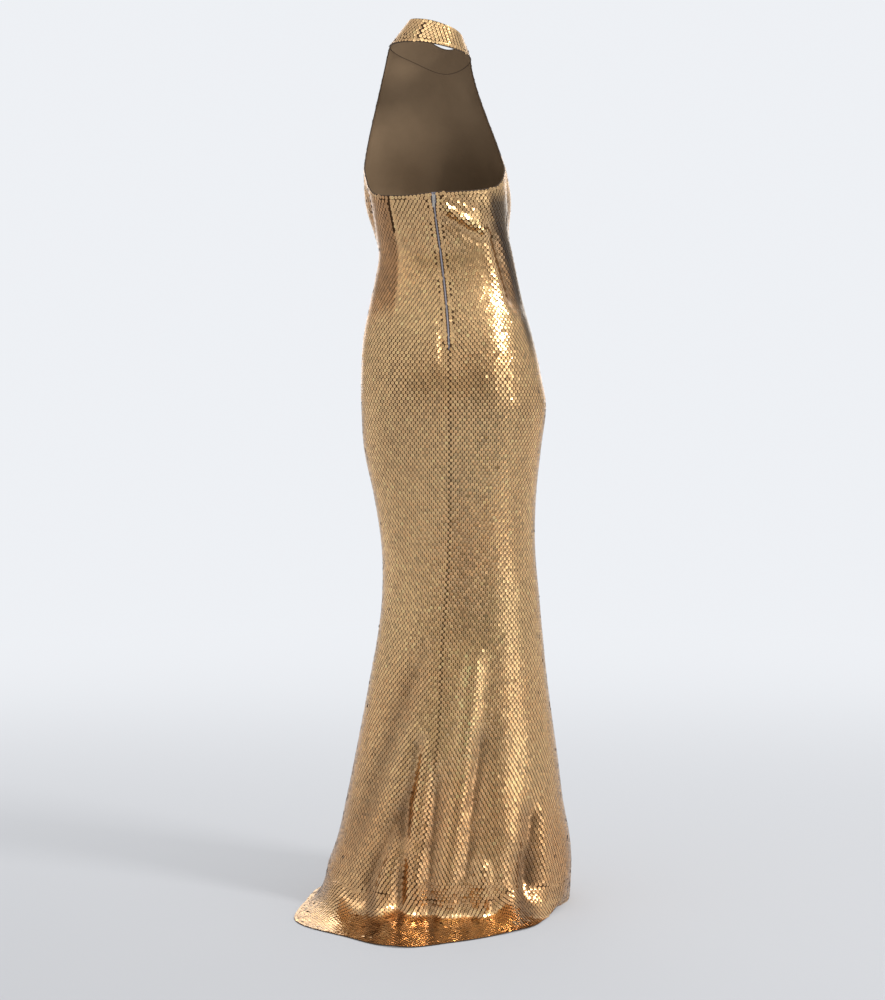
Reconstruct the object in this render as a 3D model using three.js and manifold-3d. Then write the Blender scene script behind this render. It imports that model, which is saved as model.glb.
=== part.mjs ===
// Evening gown with a halter collar, a low back, a concealed zip and a small train, as cloth walls.
// Millimetres, +Z up. The origin is the middle of the neck in the collar, -Y is the wearer's front
// and +X is the wearer's left. Angles run from +X over +Y, so 90 degrees is the middle of the back.
import * as THREE from "three";
import { mergeVertices } from "three/addons/utils/BufferGeometryUtils.js";
import Module from "manifold-3d";

// Cloth and seams
const WALL = 1.8;
const COLLAR_WALL = 2.4;
const TAPE_WALL = 0.8;
const SEAM_GAP = 0.3;

// Heights of the main lines
const UNDERARM_Z = -234;
const EVEN_Z = -300;
const WAISTBAND_Z = -560;
const FOOT_Z = -1500;
const FLOOR_Z = -1564;

// Rows and columns of each panel's grid
const TOP_ROWS = 3;
const WAIST_ROWS = 14;
const SKIRT_ROWS = 27;
const FOOT_ROWS = 8;
const YOKE_ROWS = 7;
const SIDE_COLUMNS = 8;
const CENTRE_COLUMNS = 10;
const FRONT_COLUMNS = 24;
const COLLAR_COLUMNS = 48;
const COLLAR_ROWS = 3;

// Sections are ellipses, a little squared
const SQUARENESS = 0.03;

// Train and yoke
const FOOT_LENGTH = 220;
const HEM_MIDDLE = { x: -5, y: 0 };
const YOKE_LENGTH = 200;
const COLLAR_PULL = 90;
const ARMHOLE_IN = 10;
const ARMHOLE_FORWARD = 46;

// Zip
const ZIP_OPEN = 1.75;
const SLIDER_OPEN = 4;
const ZIP_END_Z = -548;
const ZIP_CLOSED_Z = -560;
const TAPE_END_Z = -585;
const ZIP_STIFF = 8;
const SLIDER = { width: 5.4, height: 9, thick: 2.8, below: 8 };
const BRIDGE = { width: 1.4, space: 2, bar: 0.8, half: 2.4 };
const PULL = { top: 0.6, shoulder: 2.3, belly: 4.2, waist: 1.5, tip: 18, thick: 1, eyeEnd: 3.6, eyeHalf: 1.3 };
const STOP = { width: 2.4, height: 3.5, thick: 1, z: -544 };

// Collar: its closure is turned off the middle of the back
const CLOSURE_ANGLE = 67.5;
const COLLAR_MIDDLE_TOP = { x: -6, y: -2 };
const COLLAR_MIDDLE_BOTTOM = { x: 3, y: -2 };

const radians = THREE.MathUtils.degToRad;

function table(columns, rows) {
  const names = columns.split(" ");
  return rows.map((row) => Object.fromEntries(names.map((name, i) => [name, row[i]])));
}

// Sections down the gown: middle, half width, and how far the back and the front reach.
const RINGS = table("z middle half back front", [
  [-200, 0, 129, 86, -114],
  [-241, -3, 129, 79, -122],
  [-301, -11, 124.5, 66, -122],
  [-348, -16, 121.5, 53, -113],
  [-391, -23, 123.5, 46, -112],
  [-433, -24, 131.5, 52, -117],
  [-469, -24, 139.5, 63, -123],
  [-541, -27, 156.5, 90, -128],
  [-613, -33, 166.5, 108, -130],
  [-660, -37, 170.5, 109, -131],
  [-739, -35, 163.5, 100, -132],
  [-830, -40, 149.5, 89, -131],
  [-921, -46, 142.5, 83, -129],
  [-1012, -50, 146.5, 84, -128],
  [-1085, -49, 154.5, 90, -131],
  [-1159, -46, 165.5, 98, -137],
  [-1232, -44, 177.5, 108, -147],
  [-1306, -42, 190.5, 120, -159],
  [-1380, -39, 203, 134, -173],
  [-1455, -37, 219, 150, -187],
  [-1528, -25, 235, 166, -202],
  [-1600, -12, 250, 186, -216],
]);

// Where the centre-back seam and the two dart lines run, across the back.
const BACK_LINES = table("z seam dartLeft dartRight", [
  [-200, 1, 82, -82],
  [-241, 0, 80, -84],
  [-301, -2, 74, -80],
  [-391, -14, 60, -86],
  [-469, -23, 64, -108],
  [-541, -28, 74, -126],
  [-660, -29, 66, -128],
  [-739, -30, 58, -122],
  [-921, -27, 42, -112],
  [-1085, -16, 50, -112],
  [-1232, -9, 66, -122],
  [-1380, 10, 88, -124],
  [-1528, 35, 130, -122],
  [-1600, 44, 140, -122],
]);

// The same three lines at the hem, as angles.
const HEM_ANGLES = { seam: 81, dartLeft: 50, dartRight: 116 };

// Upper edge of the back, by angle.
const BACK_EDGE = table("angle z", [
  [-20, -234],
  [0, -234],
  [9, -255],
  [21, -275],
  [40, -283],
  [66, -283],
  [88, -278],
  [104, -277],
  [124, -274],
  [143, -268],
  [156, -257],
  [169, -243],
  [180, -234],
  [200, -234],
]);

// How far the hem lies from its middle, by angle, and how the cloth comes down to it: a high curve
// and power with a low start make a sharp break at the floor, the others a smooth sweep.
const HEM = table("angle reach curve start power", [
  [0, 234, 2.2, 0.6, 2],
  [18, 259, 2.2, 0.6, 2],
  [36, 303, 2.3, 0.5, 2],
  [60, 320, 3, 0.25, 2.5],
  [80, 360, 3, 0.05, 3.5],
  [95, 322, 3, 0.05, 3.5],
  [109, 295, 3, 0.08, 3.2],
  [118, 283, 2, 0.4, 2],
  [128, 272, 2, 0.4, 2],
  [142, 247, 3, 0.3, 2],
  [162, 229, 2.4, 0.5, 2],
  [182, 243, 2, 0.7, 2],
  [225, 240, 2, 0.7, 2],
  [270, 228, 2, 0.7, 2],
  [315, 236, 2, 0.75, 2],
]);

// Soft fullness of a general figure: bust and seat. side is 1 on the back and -1 on the front.
const FULLNESS = table("side x z wide tall out", [
  [-1, 66, -292, 40, 46, 30],
  [-1, -80, -292, 40, 46, 30],
  [1, 42, -588, 58, 70, 6],
  [1, -104, -580, 56, 70, 8],
  [1, -28, -610, 18, 70, -3],
]);

// Folds: each runs from a top point to an end point; out is negative in a trough.
const FOLDS = table("side zTop xTop zEnd xEnd wide out", [
  [1, -290, 6, -356, -106, 9, 8],
  [1, -312, -4, -372, -92, 12, -4],
  [1, -284, -34, -322, -112, 9, -4],
  [1, -322, -98, -520, -156, 13, -14],
  [1, -330, -118, -470, -160, 12, 4],
  [1, -1092, 16, -1466, 150, 14, -4],
  [1, -1261, 41, -1448, 95, 12, 3],
  [1, -1242, 20, -1357, 45, 9, -9],
  [1, -1350, 45, -1530, 62, 9, -9],
  [1, -1349, 52, -1544, 127, 10, -8],
  [1, -1426, 52, -1558, 109, 12, 7],
  [1, -1241, 9, -1442, 32, 11, 7],
  [1, -1442, 32, -1560, 37, 11, 9],
  [1, -1302, -12, -1560, 9, 10, -7],
  [1, -1090, -73, -1312, -53, 14, 8],
  [1, -1312, -53, -1540, -18, 13, 7],
  [1, -1225, -89, -1399, -71, 12, -8],
  [1, -1399, -71, -1500, -66, 12, -6],
  [1, -1364, -176, -1530, -159, 11, -8],
  [1, -1364, -192, -1520, -201, 9, 5],
  [1, -1458, -86, -1560, -82, 9, 11],
  [1, -1290, -120, -1600, -132, 34, 6],
  [-1, -1040, 20, -1600, 60, 30, 10],
  [-1, -1100, -110, -1600, -150, 28, 9],
  [-1, -1180, -45, -1600, -50, 24, -10],
  [-1, -1200, 70, -1600, 140, 24, -8],
]);

// Low waves of the train where it lies on the floor.
const FLOOR_WAVES = table("x y wide deep lift", [
  [-128, 200, 26, 40, 8],
  [66, 250, 16, 75, 11],
  [176, 120, 15, 50, 13],
  [-205, 90, 24, 40, 10],
]);

// Collar band by angle from its closure: height and reach of its two edges.
const COLLAR = table("angle zTop reachTop zBottom reachBottom", [
  [0, 25, 47, -14, 66],
  [65, 25, 48, -19, 74],
  [120, 4, 47, -38, 72],
  [180, -22, 50, -64, 66],
  [240, -10, 47, -46, 70],
  [295, 9, 47, -28, 69],
]);

// Cubic through a table's rows, with the slope at each row from its two neighbours.
function between(rows, key, column, at, period = 0) {
  const last = rows.length - 1;
  const wrapped = (i) => {
    const turns = period ? Math.floor(i / rows.length) : 0;
    const row = period ? rows[i - turns * rows.length] : rows[Math.min(Math.max(i, 0), last)];
    return { at: row[key] + turns * period, value: row[column] };
  };
  const up = rows[last][key] > rows[0][key] ? 1 : -1;
  let i = 0;
  const end = period ? last : last - 1;
  while (i < end && up * (at - wrapped(i + 1).at) > 0) i += 1;
  const [a, b, c, d] = [i - 1, i, i + 1, i + 2].map(wrapped);
  const slope = (p, q) => (q.at === p.at ? 0 : (q.value - p.value) / (q.at - p.at));
  const run = c.at - b.at;
  const t = THREE.MathUtils.clamp((at - b.at) / run, 0, 1);
  const [t2, t3] = [t * t, t * t * t];
  return (
    (2 * t3 - 3 * t2 + 1) * b.value + (t3 - 2 * t2 + t) * run * slope(a, c)
    + (3 * t2 - 2 * t3) * c.value + (t3 - t2) * run * slope(b, d)
  );
}

const { lerp, smoothstep } = THREE.MathUtils;

function gauss(distance, width) {
  return Math.exp(-0.5 * (distance / width) ** 2);
}

// How far folds and fullness move the cloth out of its plain section.
function relief(x, z, facing) {
  let out = 0;
  for (const f of FULLNESS) {
    const seen = smoothstep(facing * f.side, 0, 0.4);
    out += seen * f.out * gauss(x - f.x, f.wide) * gauss(z - f.z, f.tall);
  }
  for (const f of FOLDS) {
    const along = (z - f.zTop) / (f.zEnd - f.zTop);
    const seen = smoothstep(facing * f.side, 0, 0.3);
    const ends = smoothstep(along, -0.12, 0.2) * (1 - smoothstep(along, 0.8, 1.12));
    out += seen * ends * f.out * gauss(x - lerp(f.xTop, f.xEnd, along), f.wide);
  }
  const beside = smoothstep(Math.abs(x - between(BACK_LINES, "z", "seam", z)), ZIP_STIFF, 3 * ZIP_STIFF);
  const zipped = facing > 0 ? smoothstep(z, ZIP_CLOSED_Z - 60, ZIP_CLOSED_Z) : 0;
  return out * lerp(1, beside, zipped);
}

function section(z) {
  const at = (column) => between(RINGS, "z", column, z);
  const [back, front] = [at("back"), at("front")];
  return { x: at("middle"), y: (back + front) / 2, half: at("half"), deep: (back - front) / 2 };
}

function bodyPoint(z, angle) {
  const ring = section(z);
  const [c, s] = [Math.cos(angle), Math.sin(angle)];
  const square = 1 - SQUARENESS * Math.cos(4 * angle);
  const x = ring.x + ring.half * c * square;
  const y = ring.y + ring.deep * s * square;
  const outwards = new THREE.Vector2(c / ring.half, s / ring.deep).normalize();
  const out = relief(x, z, s);
  return new THREE.Vector3(x + out * outwards.x, y + out * outwards.y, z);
}

// From the foot of the hanging cloth to the hem that lies on the floor.
function footPoint(t, angle) {
  const start = bodyPoint(FOOT_Z, angle);
  const degrees = THREE.MathUtils.euclideanModulo(THREE.MathUtils.radToDeg(angle), 360);
  const [reach, curve, from, power] = ["reach", "curve", "start", "power"].map((column) => (
    between(HEM, "angle", column, degrees, 360)));
  const share = from * t + (1 - from) * t ** power;
  const x = lerp(start.x, HEM_MIDDLE.x + reach * Math.cos(angle), share);
  const y = lerp(start.y, HEM_MIDDLE.y + reach * Math.sin(angle), share);
  let waves = 0;
  for (const w of FLOOR_WAVES) waves += w.lift * gauss(x - w.x, w.wide) * gauss(y - w.y, w.deep);
  const lies = smoothstep(t, 0, 0.25) * (1 - 0.6 * smoothstep(t, 0.75, 1));
  const low = FLOOR_Z + WALL / 2;
  return new THREE.Vector3(x, y, low + (FOOT_Z - low) * Math.max(1 - t, 0) ** curve + waves * lies);
}

function collarEdge(angle, edge) {
  const turned = CLOSURE_ANGLE - THREE.MathUtils.radToDeg(angle);
  const from = THREE.MathUtils.euclideanModulo(turned, 360);
  const reach = between(COLLAR, "angle", `reach${edge}`, from, 360);
  const middle = edge === "Top" ? COLLAR_MIDDLE_TOP : COLLAR_MIDDLE_BOTTOM;
  const z = between(COLLAR, "angle", `z${edge}`, from, 360);
  const [c, s] = [Math.cos(angle), Math.sin(angle)];
  return new THREE.Vector3(middle.x + reach * c, middle.y + reach * s, z);
}

function collarPoint(t, angle) {
  return collarEdge(angle, "Bottom").lerp(collarEdge(angle, "Top"), t);
}

// From the underarm line up to the collar seam, leaving both smoothly.
function yokePoint(t, angle) {
  const low = bodyPoint(UNDERARM_Z, angle);
  const rise = bodyPoint(UNDERARM_Z + 1, angle).sub(low).multiplyScalar(YOKE_LENGTH);
  const high = collarPoint(0, angle);
  const lean = collarPoint(1, angle).sub(high).normalize().multiplyScalar(COLLAR_PULL);
  const [t2, t3] = [t * t, t * t * t];
  const point = low.multiplyScalar(2 * t3 - 3 * t2 + 1);
  point.addScaledVector(rise, t3 - 2 * t2 + t);
  point.addScaledVector(high, 3 * t2 - 2 * t3);
  point.addScaledVector(lean, t3 - t2);
  const edge = Math.cos(angle) ** 6 * Math.sin(Math.PI * t);
  point.x -= Math.sign(Math.cos(angle)) * ARMHOLE_IN * edge;
  point.y -= ARMHOLE_FORWARD * edge;
  return point;
}

// The whole gown as one sheet: down is a height on the body, and a length past it at both ends.
function gownPoint(down, angle) {
  if (down > UNDERARM_Z) return yokePoint((down - UNDERARM_Z) / YOKE_LENGTH, angle);
  if (down < FOOT_Z) return footPoint((FOOT_Z - down) / FOOT_LENGTH, angle);
  return bodyPoint(down, angle);
}

function normalAt(sheet, down, angle) {
  const [step, turn] = [0.5, 0.002];
  const up = sheet(down + step, angle).sub(sheet(down - step, angle));
  const round = sheet(down, angle + turn).sub(sheet(down, angle - turn));
  return round.cross(up).normalize();
}

// The heights of the rows that all three panels share.
function sharedRows() {
  const rows = [];
  for (let i = 1; i <= WAIST_ROWS; i += 1) rows.push(lerp(EVEN_Z, WAISTBAND_Z, i / WAIST_ROWS));
  for (let i = 1; i <= SKIRT_ROWS; i += 1) rows.push(lerp(WAISTBAND_Z, FOOT_Z, i / SKIRT_ROWS));
  for (let i = 1; i <= FOOT_ROWS; i += 1) rows.push(FOOT_Z - (FOOT_LENGTH * i) / FOOT_ROWS);
  return rows;
}

// The angle at which a line of the back crosses a row.
function lineAngle(line, down) {
  const z = Math.max(down, FOOT_Z);
  const ring = section(z);
  const across = (between(BACK_LINES, "z", line, z) - ring.x) / ring.half;
  const angle = Math.acos(THREE.MathUtils.clamp(across, -1, 1));
  return lerp(angle, radians(HEM_ANGLES[line]), THREE.MathUtils.clamp((FOOT_Z - down) / FOOT_LENGTH, 0, 1));
}

function edgeHeight(angle) {
  return between(BACK_EDGE, "angle", "z", THREE.MathUtils.radToDeg(angle));
}

// Half the space between the two back edges: open over the zip, wider round its slider.
function backOpening(down) {
  const slider = smoothstep(down, edgeHeight(Math.PI / 2) - 26, edgeHeight(Math.PI / 2) - 16);
  const open = lerp(ZIP_OPEN, SLIDER_OPEN, slider);
  return lerp(SEAM_GAP / 2, open, smoothstep(down, ZIP_CLOSED_Z, ZIP_END_Z));
}

// Moves the first and last point of a row in from the seams.
function trim(row, first, last) {
  const end = row.length - 1;
  const inwards = (i, j, by) => row[j].point.clone().sub(row[i].point).setLength(by);
  row[0].point.add(inwards(0, 1, first));
  row[end].point.add(inwards(end, end - 1, last));
  return row;
}

// A closed wall of even thickness on a grid of points with normals, its outside along the normals.
function wall(rows, thick) {
  const [height, width] = [rows.length, rows[0].length];
  const positions = [];
  for (const side of [thick / 2, -thick / 2]) {
    for (const row of rows) {
      for (const { point, normal } of row) {
        positions.push(...point.clone().addScaledVector(normal, side).toArray());
      }
    }
  }
  const inner = height * width;
  const index = [];
  const quad = (a, b, c, d) => index.push(a, b, c, a, c, d);
  for (let i = 0; i < height - 1; i += 1) {
    for (let j = 0; j < width - 1; j += 1) {
      const [a, b, c, d] = [i * width + j, (i + 1) * width + j, (i + 1) * width + j + 1, i * width + j + 1];
      quad(a, b, c, d);
      quad(inner + d, inner + c, inner + b, inner + a);
    }
  }
  // Both rims of a seam are split along the same diagonal, so that they stay the gap apart.
  const rimUp = (a, b) => quad(b, a, inner + a, inner + b);
  const rimDown = (a, b) => quad(a, inner + a, inner + b, b);
  const corner = (height - 1) * width;
  for (let i = 0; i < height - 1; i += 1) {
    rimUp(i * width, (i + 1) * width);
    rimDown((i + 2) * width - 1, (i + 1) * width - 1);
  }
  for (let j = 0; j < width - 1; j += 1) {
    rimUp(corner + j, corner + j + 1);
    rimDown(j + 1, j);
  }
  return solid(positions, index);
}

function solid(positions, index) {
  const geometry = new THREE.BufferGeometry();
  geometry.setAttribute("position", new THREE.Float32BufferAttribute(positions, 3));
  geometry.setIndex(index);
  geometry.computeVertexNormals();
  return geometry;
}

function sheetPoint(sheet, down, angle) {
  return { point: sheet(down, angle), normal: normalAt(sheet, down, angle) };
}

// A dart is pulled in where it is sewn: from the back's edge to its point at the hip.
const DART = { start: -280, end: -508, deep: 1.6 };

function dartDepth(down) {
  return DART.deep * smoothstep(down, DART.end - 14, DART.end + 40);
}

// The rows of the back, each a function of the angle: the first ones follow the upper edge.
function backRows() {
  const rows = [];
  for (let i = 0; i <= TOP_ROWS; i += 1) {
    rows.push((angle) => lerp(edgeHeight(angle), EVEN_Z, i / TOP_ROWS));
  }
  return [...rows, ...sharedRows().map((down) => () => down)];
}

// One back panel, from its side seam to the centre-back seam.
function backPanel(dart, sideAngle) {
  return backRows().map((rowAt) => {
    const middle = rowAt(Math.PI / 2);
    const [seam, fold] = [lineAngle("seam", middle), lineAngle(dart, middle)];
    const angles = [];
    for (let j = 0; j <= SIDE_COLUMNS; j += 1) angles.push(lerp(sideAngle, fold, j / SIDE_COLUMNS));
    for (let j = 1; j <= CENTRE_COLUMNS; j += 1) angles.push(lerp(fold, seam, j / CENTRE_COLUMNS));
    const row = angles.map((angle) => sheetPoint(gownPoint, rowAt(angle), angle));
    row[SIDE_COLUMNS].point.addScaledVector(row[SIDE_COLUMNS].normal, -dartDepth(middle));
    trim(row, SEAM_GAP / 2, backOpening(middle));
    return sideAngle === 0 ? row : row.reverse();
  });
}

function frontPanel() {
  const rows = [];
  for (let i = YOKE_ROWS; i > 0; i -= 1) rows.push(UNDERARM_Z + (YOKE_LENGTH * i) / YOKE_ROWS);
  for (let i = 0; i <= TOP_ROWS; i += 1) rows.push(lerp(UNDERARM_Z, EVEN_Z, i / TOP_ROWS));
  rows.push(...sharedRows());
  return rows.map((down, i) => {
    const row = [];
    for (let j = 0; j <= FRONT_COLUMNS; j += 1) {
      const angle = Math.PI * (1 + j / FRONT_COLUMNS);
      row.push(i === 0 ? collarSeam(angle, -1) : sheetPoint(gownPoint, down, angle));
    }
    return trim(row, SEAM_GAP / 2, SEAM_GAP / 2);
  });
}

// A point of the seam between collar and front, above it for side 1 and below it for side -1.
function collarSeam(angle, side, share = 0) {
  const up = collarPoint(1, angle).sub(collarPoint(0, angle));
  const round = collarPoint(0.5, angle + 0.01).sub(collarPoint(0.5, angle - 0.01));
  const point = collarPoint(share, angle).addScaledVector(up.clone().normalize(), (side * SEAM_GAP) / 2);
  return { point, normal: round.cross(up).normalize() };
}

function collarBand() {
  const start = radians(CLOSURE_ANGLE);
  const rows = [];
  for (let i = COLLAR_ROWS; i >= 0; i -= 1) {
    const row = [];
    for (let j = 0; j <= COLLAR_COLUMNS; j += 1) {
      row.push(collarSeam(start + (2 * Math.PI * j) / COLLAR_COLUMNS, 1, i / COLLAR_ROWS));
    }
    rows.push(trim(row, SEAM_GAP / 2, SEAM_GAP / 2));
  }
  return rows;
}

// A zip tape under one back edge, as wide as the panel's last column.
function zipTape(dart) {
  const under = WALL / 2 + SEAM_GAP + TAPE_WALL / 2;
  const rows = backRows().filter((rowAt) => rowAt(Math.PI / 2) > TAPE_END_Z);
  return rows.map((rowAt) => {
    const middle = rowAt(Math.PI / 2);
    const [seam, fold] = [lineAngle("seam", middle), lineAngle(dart, middle)];
    const row = [0, 1 / CENTRE_COLUMNS].map((share) => {
      const angle = lerp(seam, fold, share);
      const at = sheetPoint(gownPoint, rowAt(angle), angle);
      at.point.addScaledVector(at.normal, -under);
      return at;
    });
    trim(row, SEAM_GAP, 0);
    return dart === "dartRight" ? row : row.reverse();
  });
}

function box(width, deep, high, y, z) {
  const geometry = new THREE.BoxGeometry(width, deep, high);
  return geometry.translate(0, y, z);
}

const wasm = await Module();
wasm.setup();

function toManifold(geometry) {
  const plain = geometry.clone();
  plain.deleteAttribute("normal");
  plain.deleteAttribute("uv");
  const merged = mergeVertices(plain);
  const vertProperties = new Float32Array(merged.attributes.position.array);
  const triVerts = new Uint32Array(merged.index.array);
  return new wasm.Manifold(new wasm.Mesh({ numProp: 3, vertProperties, triVerts }));
}

function fromManifold(manifold) {
  const mesh = manifold.getMesh();
  return solid(Array.from(mesh.vertProperties), Array.from(mesh.triVerts));
}

// Faces of the zip's hard pieces, measured out from the middle of the cloth.
const TAPE_FACE = -(WALL / 2 + SEAM_GAP);
const SLIDER_BACK = TAPE_FACE + SEAM_GAP;
const SLIDER_FACE = SLIDER_BACK + SLIDER.thick;
const PIVOT_OUT = SLIDER_FACE + BRIDGE.space / 2;

// Places a piece on the zip at a height, its own +Y along the cloth's normal seen from the side.
function zipPlace(z) {
  const { point, normal } = sheetPoint(gownPoint, z, lineAngle("seam", z));
  const lean = Math.atan2(normal.z, normal.y);
  return { point, lean };
}

// The slider's body with the arch that carries the pull.
function sliderSolid() {
  const { bar, half, space, width } = BRIDGE;
  const post = (z) => box(width, space + bar + 0.4, bar, SLIDER_FACE + (space + bar - 0.4) / 2, z);
  const pieces = [
    box(SLIDER.width, SLIDER.thick, SLIDER.height, (SLIDER_BACK + SLIDER_FACE) / 2, 0),
    box(width, bar, 2 * half, SLIDER_FACE + space + bar / 2, 0),
    post(half - bar / 2),
    post(bar / 2 - half),
  ];
  return fromManifold(pieces.map(toManifold).reduce((whole, piece) => whole.add(piece)));
}

// The pull hangs straight down from its pivot; its eye goes round the slider's arch.
function pullGeometry() {
  const { top, shoulder, belly, waist, tip, thick, eyeEnd, eyeHalf } = PULL;
  const outline = new THREE.Shape();
  outline.moveTo(-shoulder, top);
  outline.lineTo(-shoulder, -belly);
  outline.quadraticCurveTo(-shoulder, -belly - 1.5, -waist, -belly - 2.5);
  outline.quadraticCurveTo(-shoulder, -tip + 5, -shoulder, -tip + shoulder);
  outline.bezierCurveTo(-shoulder, -tip - 1, shoulder, -tip - 1, shoulder, -tip + shoulder);
  outline.quadraticCurveTo(shoulder, -tip + 5, waist, -belly - 2.5);
  outline.quadraticCurveTo(shoulder, -belly - 1.5, shoulder, -belly);
  outline.lineTo(shoulder, top);
  const eye = new THREE.Path();
  eye.moveTo(-eyeHalf, -top);
  eye.lineTo(eyeHalf, -top);
  eye.lineTo(eyeHalf, -eyeEnd);
  eye.lineTo(-eyeHalf, -eyeEnd);
  outline.holes.push(eye);
  const settings = { depth: thick, bevelEnabled: false, curveSegments: 6 };
  const geometry = new THREE.ExtrudeGeometry(outline, settings);
  geometry.translate(0, 0, -thick / 2);
  return geometry.rotateX(Math.PI / 2);
}

const FINISHES = {
  gold: { color: 0xab8c5f, roughness: 0.35, metalness: 0.85 },
  tape: { color: 0xa7a1ab, roughness: 0.8, metalness: 0 },
  metal: { color: 0xc9c4bb, roughness: 0.3, metalness: 1 },
};

function named(name, geometry, finish) {
  const mesh = new THREE.Mesh(geometry, new THREE.MeshStandardMaterial(FINISHES[finish]));
  mesh.name = name;
  return mesh;
}

const gown = new THREE.Group();
gown.add(named("front", wall(frontPanel(), WALL), "gold"));
gown.add(named("back_left", wall(backPanel("dartLeft", 0), WALL), "gold"));
gown.add(named("back_right", wall(backPanel("dartRight", Math.PI), WALL), "gold"));
gown.add(named("collar", wall(collarBand(), COLLAR_WALL), "gold"));
gown.add(named("zip_tape_left", wall(zipTape("dartLeft"), TAPE_WALL), "tape"));
gown.add(named("zip_tape_right", wall(zipTape("dartRight"), TAPE_WALL), "tape"));

const sliderPlace = zipPlace(edgeHeight(Math.PI / 2) - SLIDER.below);
const slider = named("zip_slider", sliderSolid(), "metal");
slider.position.copy(sliderPlace.point);
slider.rotation.x = sliderPlace.lean;
gown.add(slider);

const pull = named("zip_pull", pullGeometry(), "metal");
pull.position.set(0, PIVOT_OUT, 0).applyEuler(slider.rotation).add(slider.position);
gown.add(pull);

const stopPlace = zipPlace(STOP.z);
const stop = named("zip_stop", box(STOP.width, STOP.thick, STOP.height, SLIDER_BACK + STOP.thick / 2, 0), "metal");
stop.position.copy(stopPlace.point);
stop.rotation.x = stopPlace.lean;
gown.add(stop);

export default gown;
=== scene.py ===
"""Evening gown with a halter collar, a low back, a zip and a small train, sewn with gold discs.

Lengths are worked out in millimetres and made metres in the meshes. +Z is up, -Y is the wearer's
front and +X the wearer's left. The origin is the middle of the neck, inside the collar.
"""
import logging
import math
from dataclasses import dataclass, field
from enum import Enum
from typing import Any

import bpy
import numpy as np
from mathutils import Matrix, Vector
from mathutils.kdtree import KDTree


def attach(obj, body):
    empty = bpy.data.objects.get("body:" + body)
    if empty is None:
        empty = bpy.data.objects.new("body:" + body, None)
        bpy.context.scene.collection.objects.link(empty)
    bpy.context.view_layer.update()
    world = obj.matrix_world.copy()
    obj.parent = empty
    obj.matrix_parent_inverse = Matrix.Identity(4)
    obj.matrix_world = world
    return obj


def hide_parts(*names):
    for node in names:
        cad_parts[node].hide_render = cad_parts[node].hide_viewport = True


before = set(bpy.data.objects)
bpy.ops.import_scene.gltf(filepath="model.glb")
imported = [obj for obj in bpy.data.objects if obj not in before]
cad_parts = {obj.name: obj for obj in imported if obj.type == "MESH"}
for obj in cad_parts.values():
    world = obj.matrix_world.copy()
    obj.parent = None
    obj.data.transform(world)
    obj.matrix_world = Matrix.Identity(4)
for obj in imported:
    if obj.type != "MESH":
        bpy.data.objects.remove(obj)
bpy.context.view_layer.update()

log = logging.getLogger("gown")
MM = 0.001
SEED = 20

# Sections down the gown: height, middle, half width, reach of the back and of the front.
RINGS = np.array([
    (-200, 0, 129, 86, -114), (-241, -3, 129, 79, -122), (-301, -11, 124.5, 66, -122),
    (-348, -16, 121.5, 53, -113), (-391, -23, 123.5, 46, -112), (-433, -24, 131.5, 52, -117),
    (-469, -24, 139.5, 63, -123), (-541, -27, 156.5, 90, -128), (-613, -33, 166.5, 108, -130),
    (-660, -37, 170.5, 109, -131), (-739, -35, 163.5, 100, -132), (-830, -40, 149.5, 89, -131),
    (-921, -46, 142.5, 83, -129), (-1012, -50, 146.5, 84, -128), (-1085, -49, 154.5, 90, -131),
    (-1159, -46, 165.5, 98, -137), (-1232, -44, 177.5, 108, -147), (-1306, -42, 190.5, 120, -159),
    (-1380, -39, 203, 134, -173), (-1455, -37, 219, 150, -187), (-1528, -25, 235, 166, -202),
    (-1600, -12, 250, 186, -216)], float)

# Height, then where the centre-back seam and the left and right dart lines run across the back.
BACK_LINES = np.array([
    (-200, 1, 82, -82), (-241, 0, 80, -84), (-301, -2, 74, -80), (-391, -14, 60, -86),
    (-469, -23, 64, -108), (-541, -28, 74, -126), (-660, -29, 66, -128), (-739, -30, 58, -122),
    (-921, -27, 42, -112), (-1085, -16, 50, -112), (-1232, -9, 66, -122), (-1380, 10, 88, -124),
    (-1528, 35, 130, -122), (-1600, 44, 140, -122)], float)

# Angle and height of the back's upper edge.
BACK_EDGE = np.array([
    (-20, -234), (0, -234), (9, -255), (21, -275), (40, -283), (66, -283), (88, -278),
    (104, -277), (124, -274), (143, -268), (156, -257), (169, -243), (180, -234),
    (200, -234)], float)

# Angle, reach of the hem from its middle, curve, start and power of the way down to it.
HEM = np.array([
    (0, 234, 2.2, 0.6, 2), (18, 259, 2.2, 0.6, 2), (36, 303, 2.3, 0.5, 2), (60, 320, 3, 0.25, 2.5),
    (80, 360, 5, 0.05, 3.5), (95, 322, 5, 0.05, 3.5), (109, 295, 5, 0.08, 3.2), (118, 283, 2, 0.4, 2),
    (128, 272, 2, 0.4, 2), (142, 247, 3, 0.3, 2), (162, 229, 2.4, 0.5, 2), (182, 243, 2, 0.7, 2),
    (225, 240, 2, 0.7, 2), (270, 228, 2, 0.7, 2), (315, 236, 2, 0.75, 2)], float)

# Collar by angle from its closure: height and reach of its upper edge, then of its lower edge.
COLLAR = np.array([
    (0, 25, 47, -14, 66), (65, 25, 48, -19, 74), (120, 4, 47, -38, 72), (180, -22, 50, -64, 66),
    (240, -10, 47, -46, 70), (295, 9, 47, -28, 69)], float)

# Height, then where the painted shade and painted dark reflections on the left and right side begin, in
# dimmer and redder discs.
PAINTED_SHADE_LINES = np.array([
    (-230, 82, -96), (-301, 74, -98), (-322, 71, -104), (-391, 60, -124), (-490, 66, -150), (-560, 76, -168),
    (-660, 80, -180)], float)

# The two sides of that painted shade and reflection: column of that table, direction, depth where they end,
# how much redder and dimmer.
PAINTED_SHADE_SHARES = ((1, 1, 440, 0.7, 0.46), (2, -1, 520, 0.15, 0.88))

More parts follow.
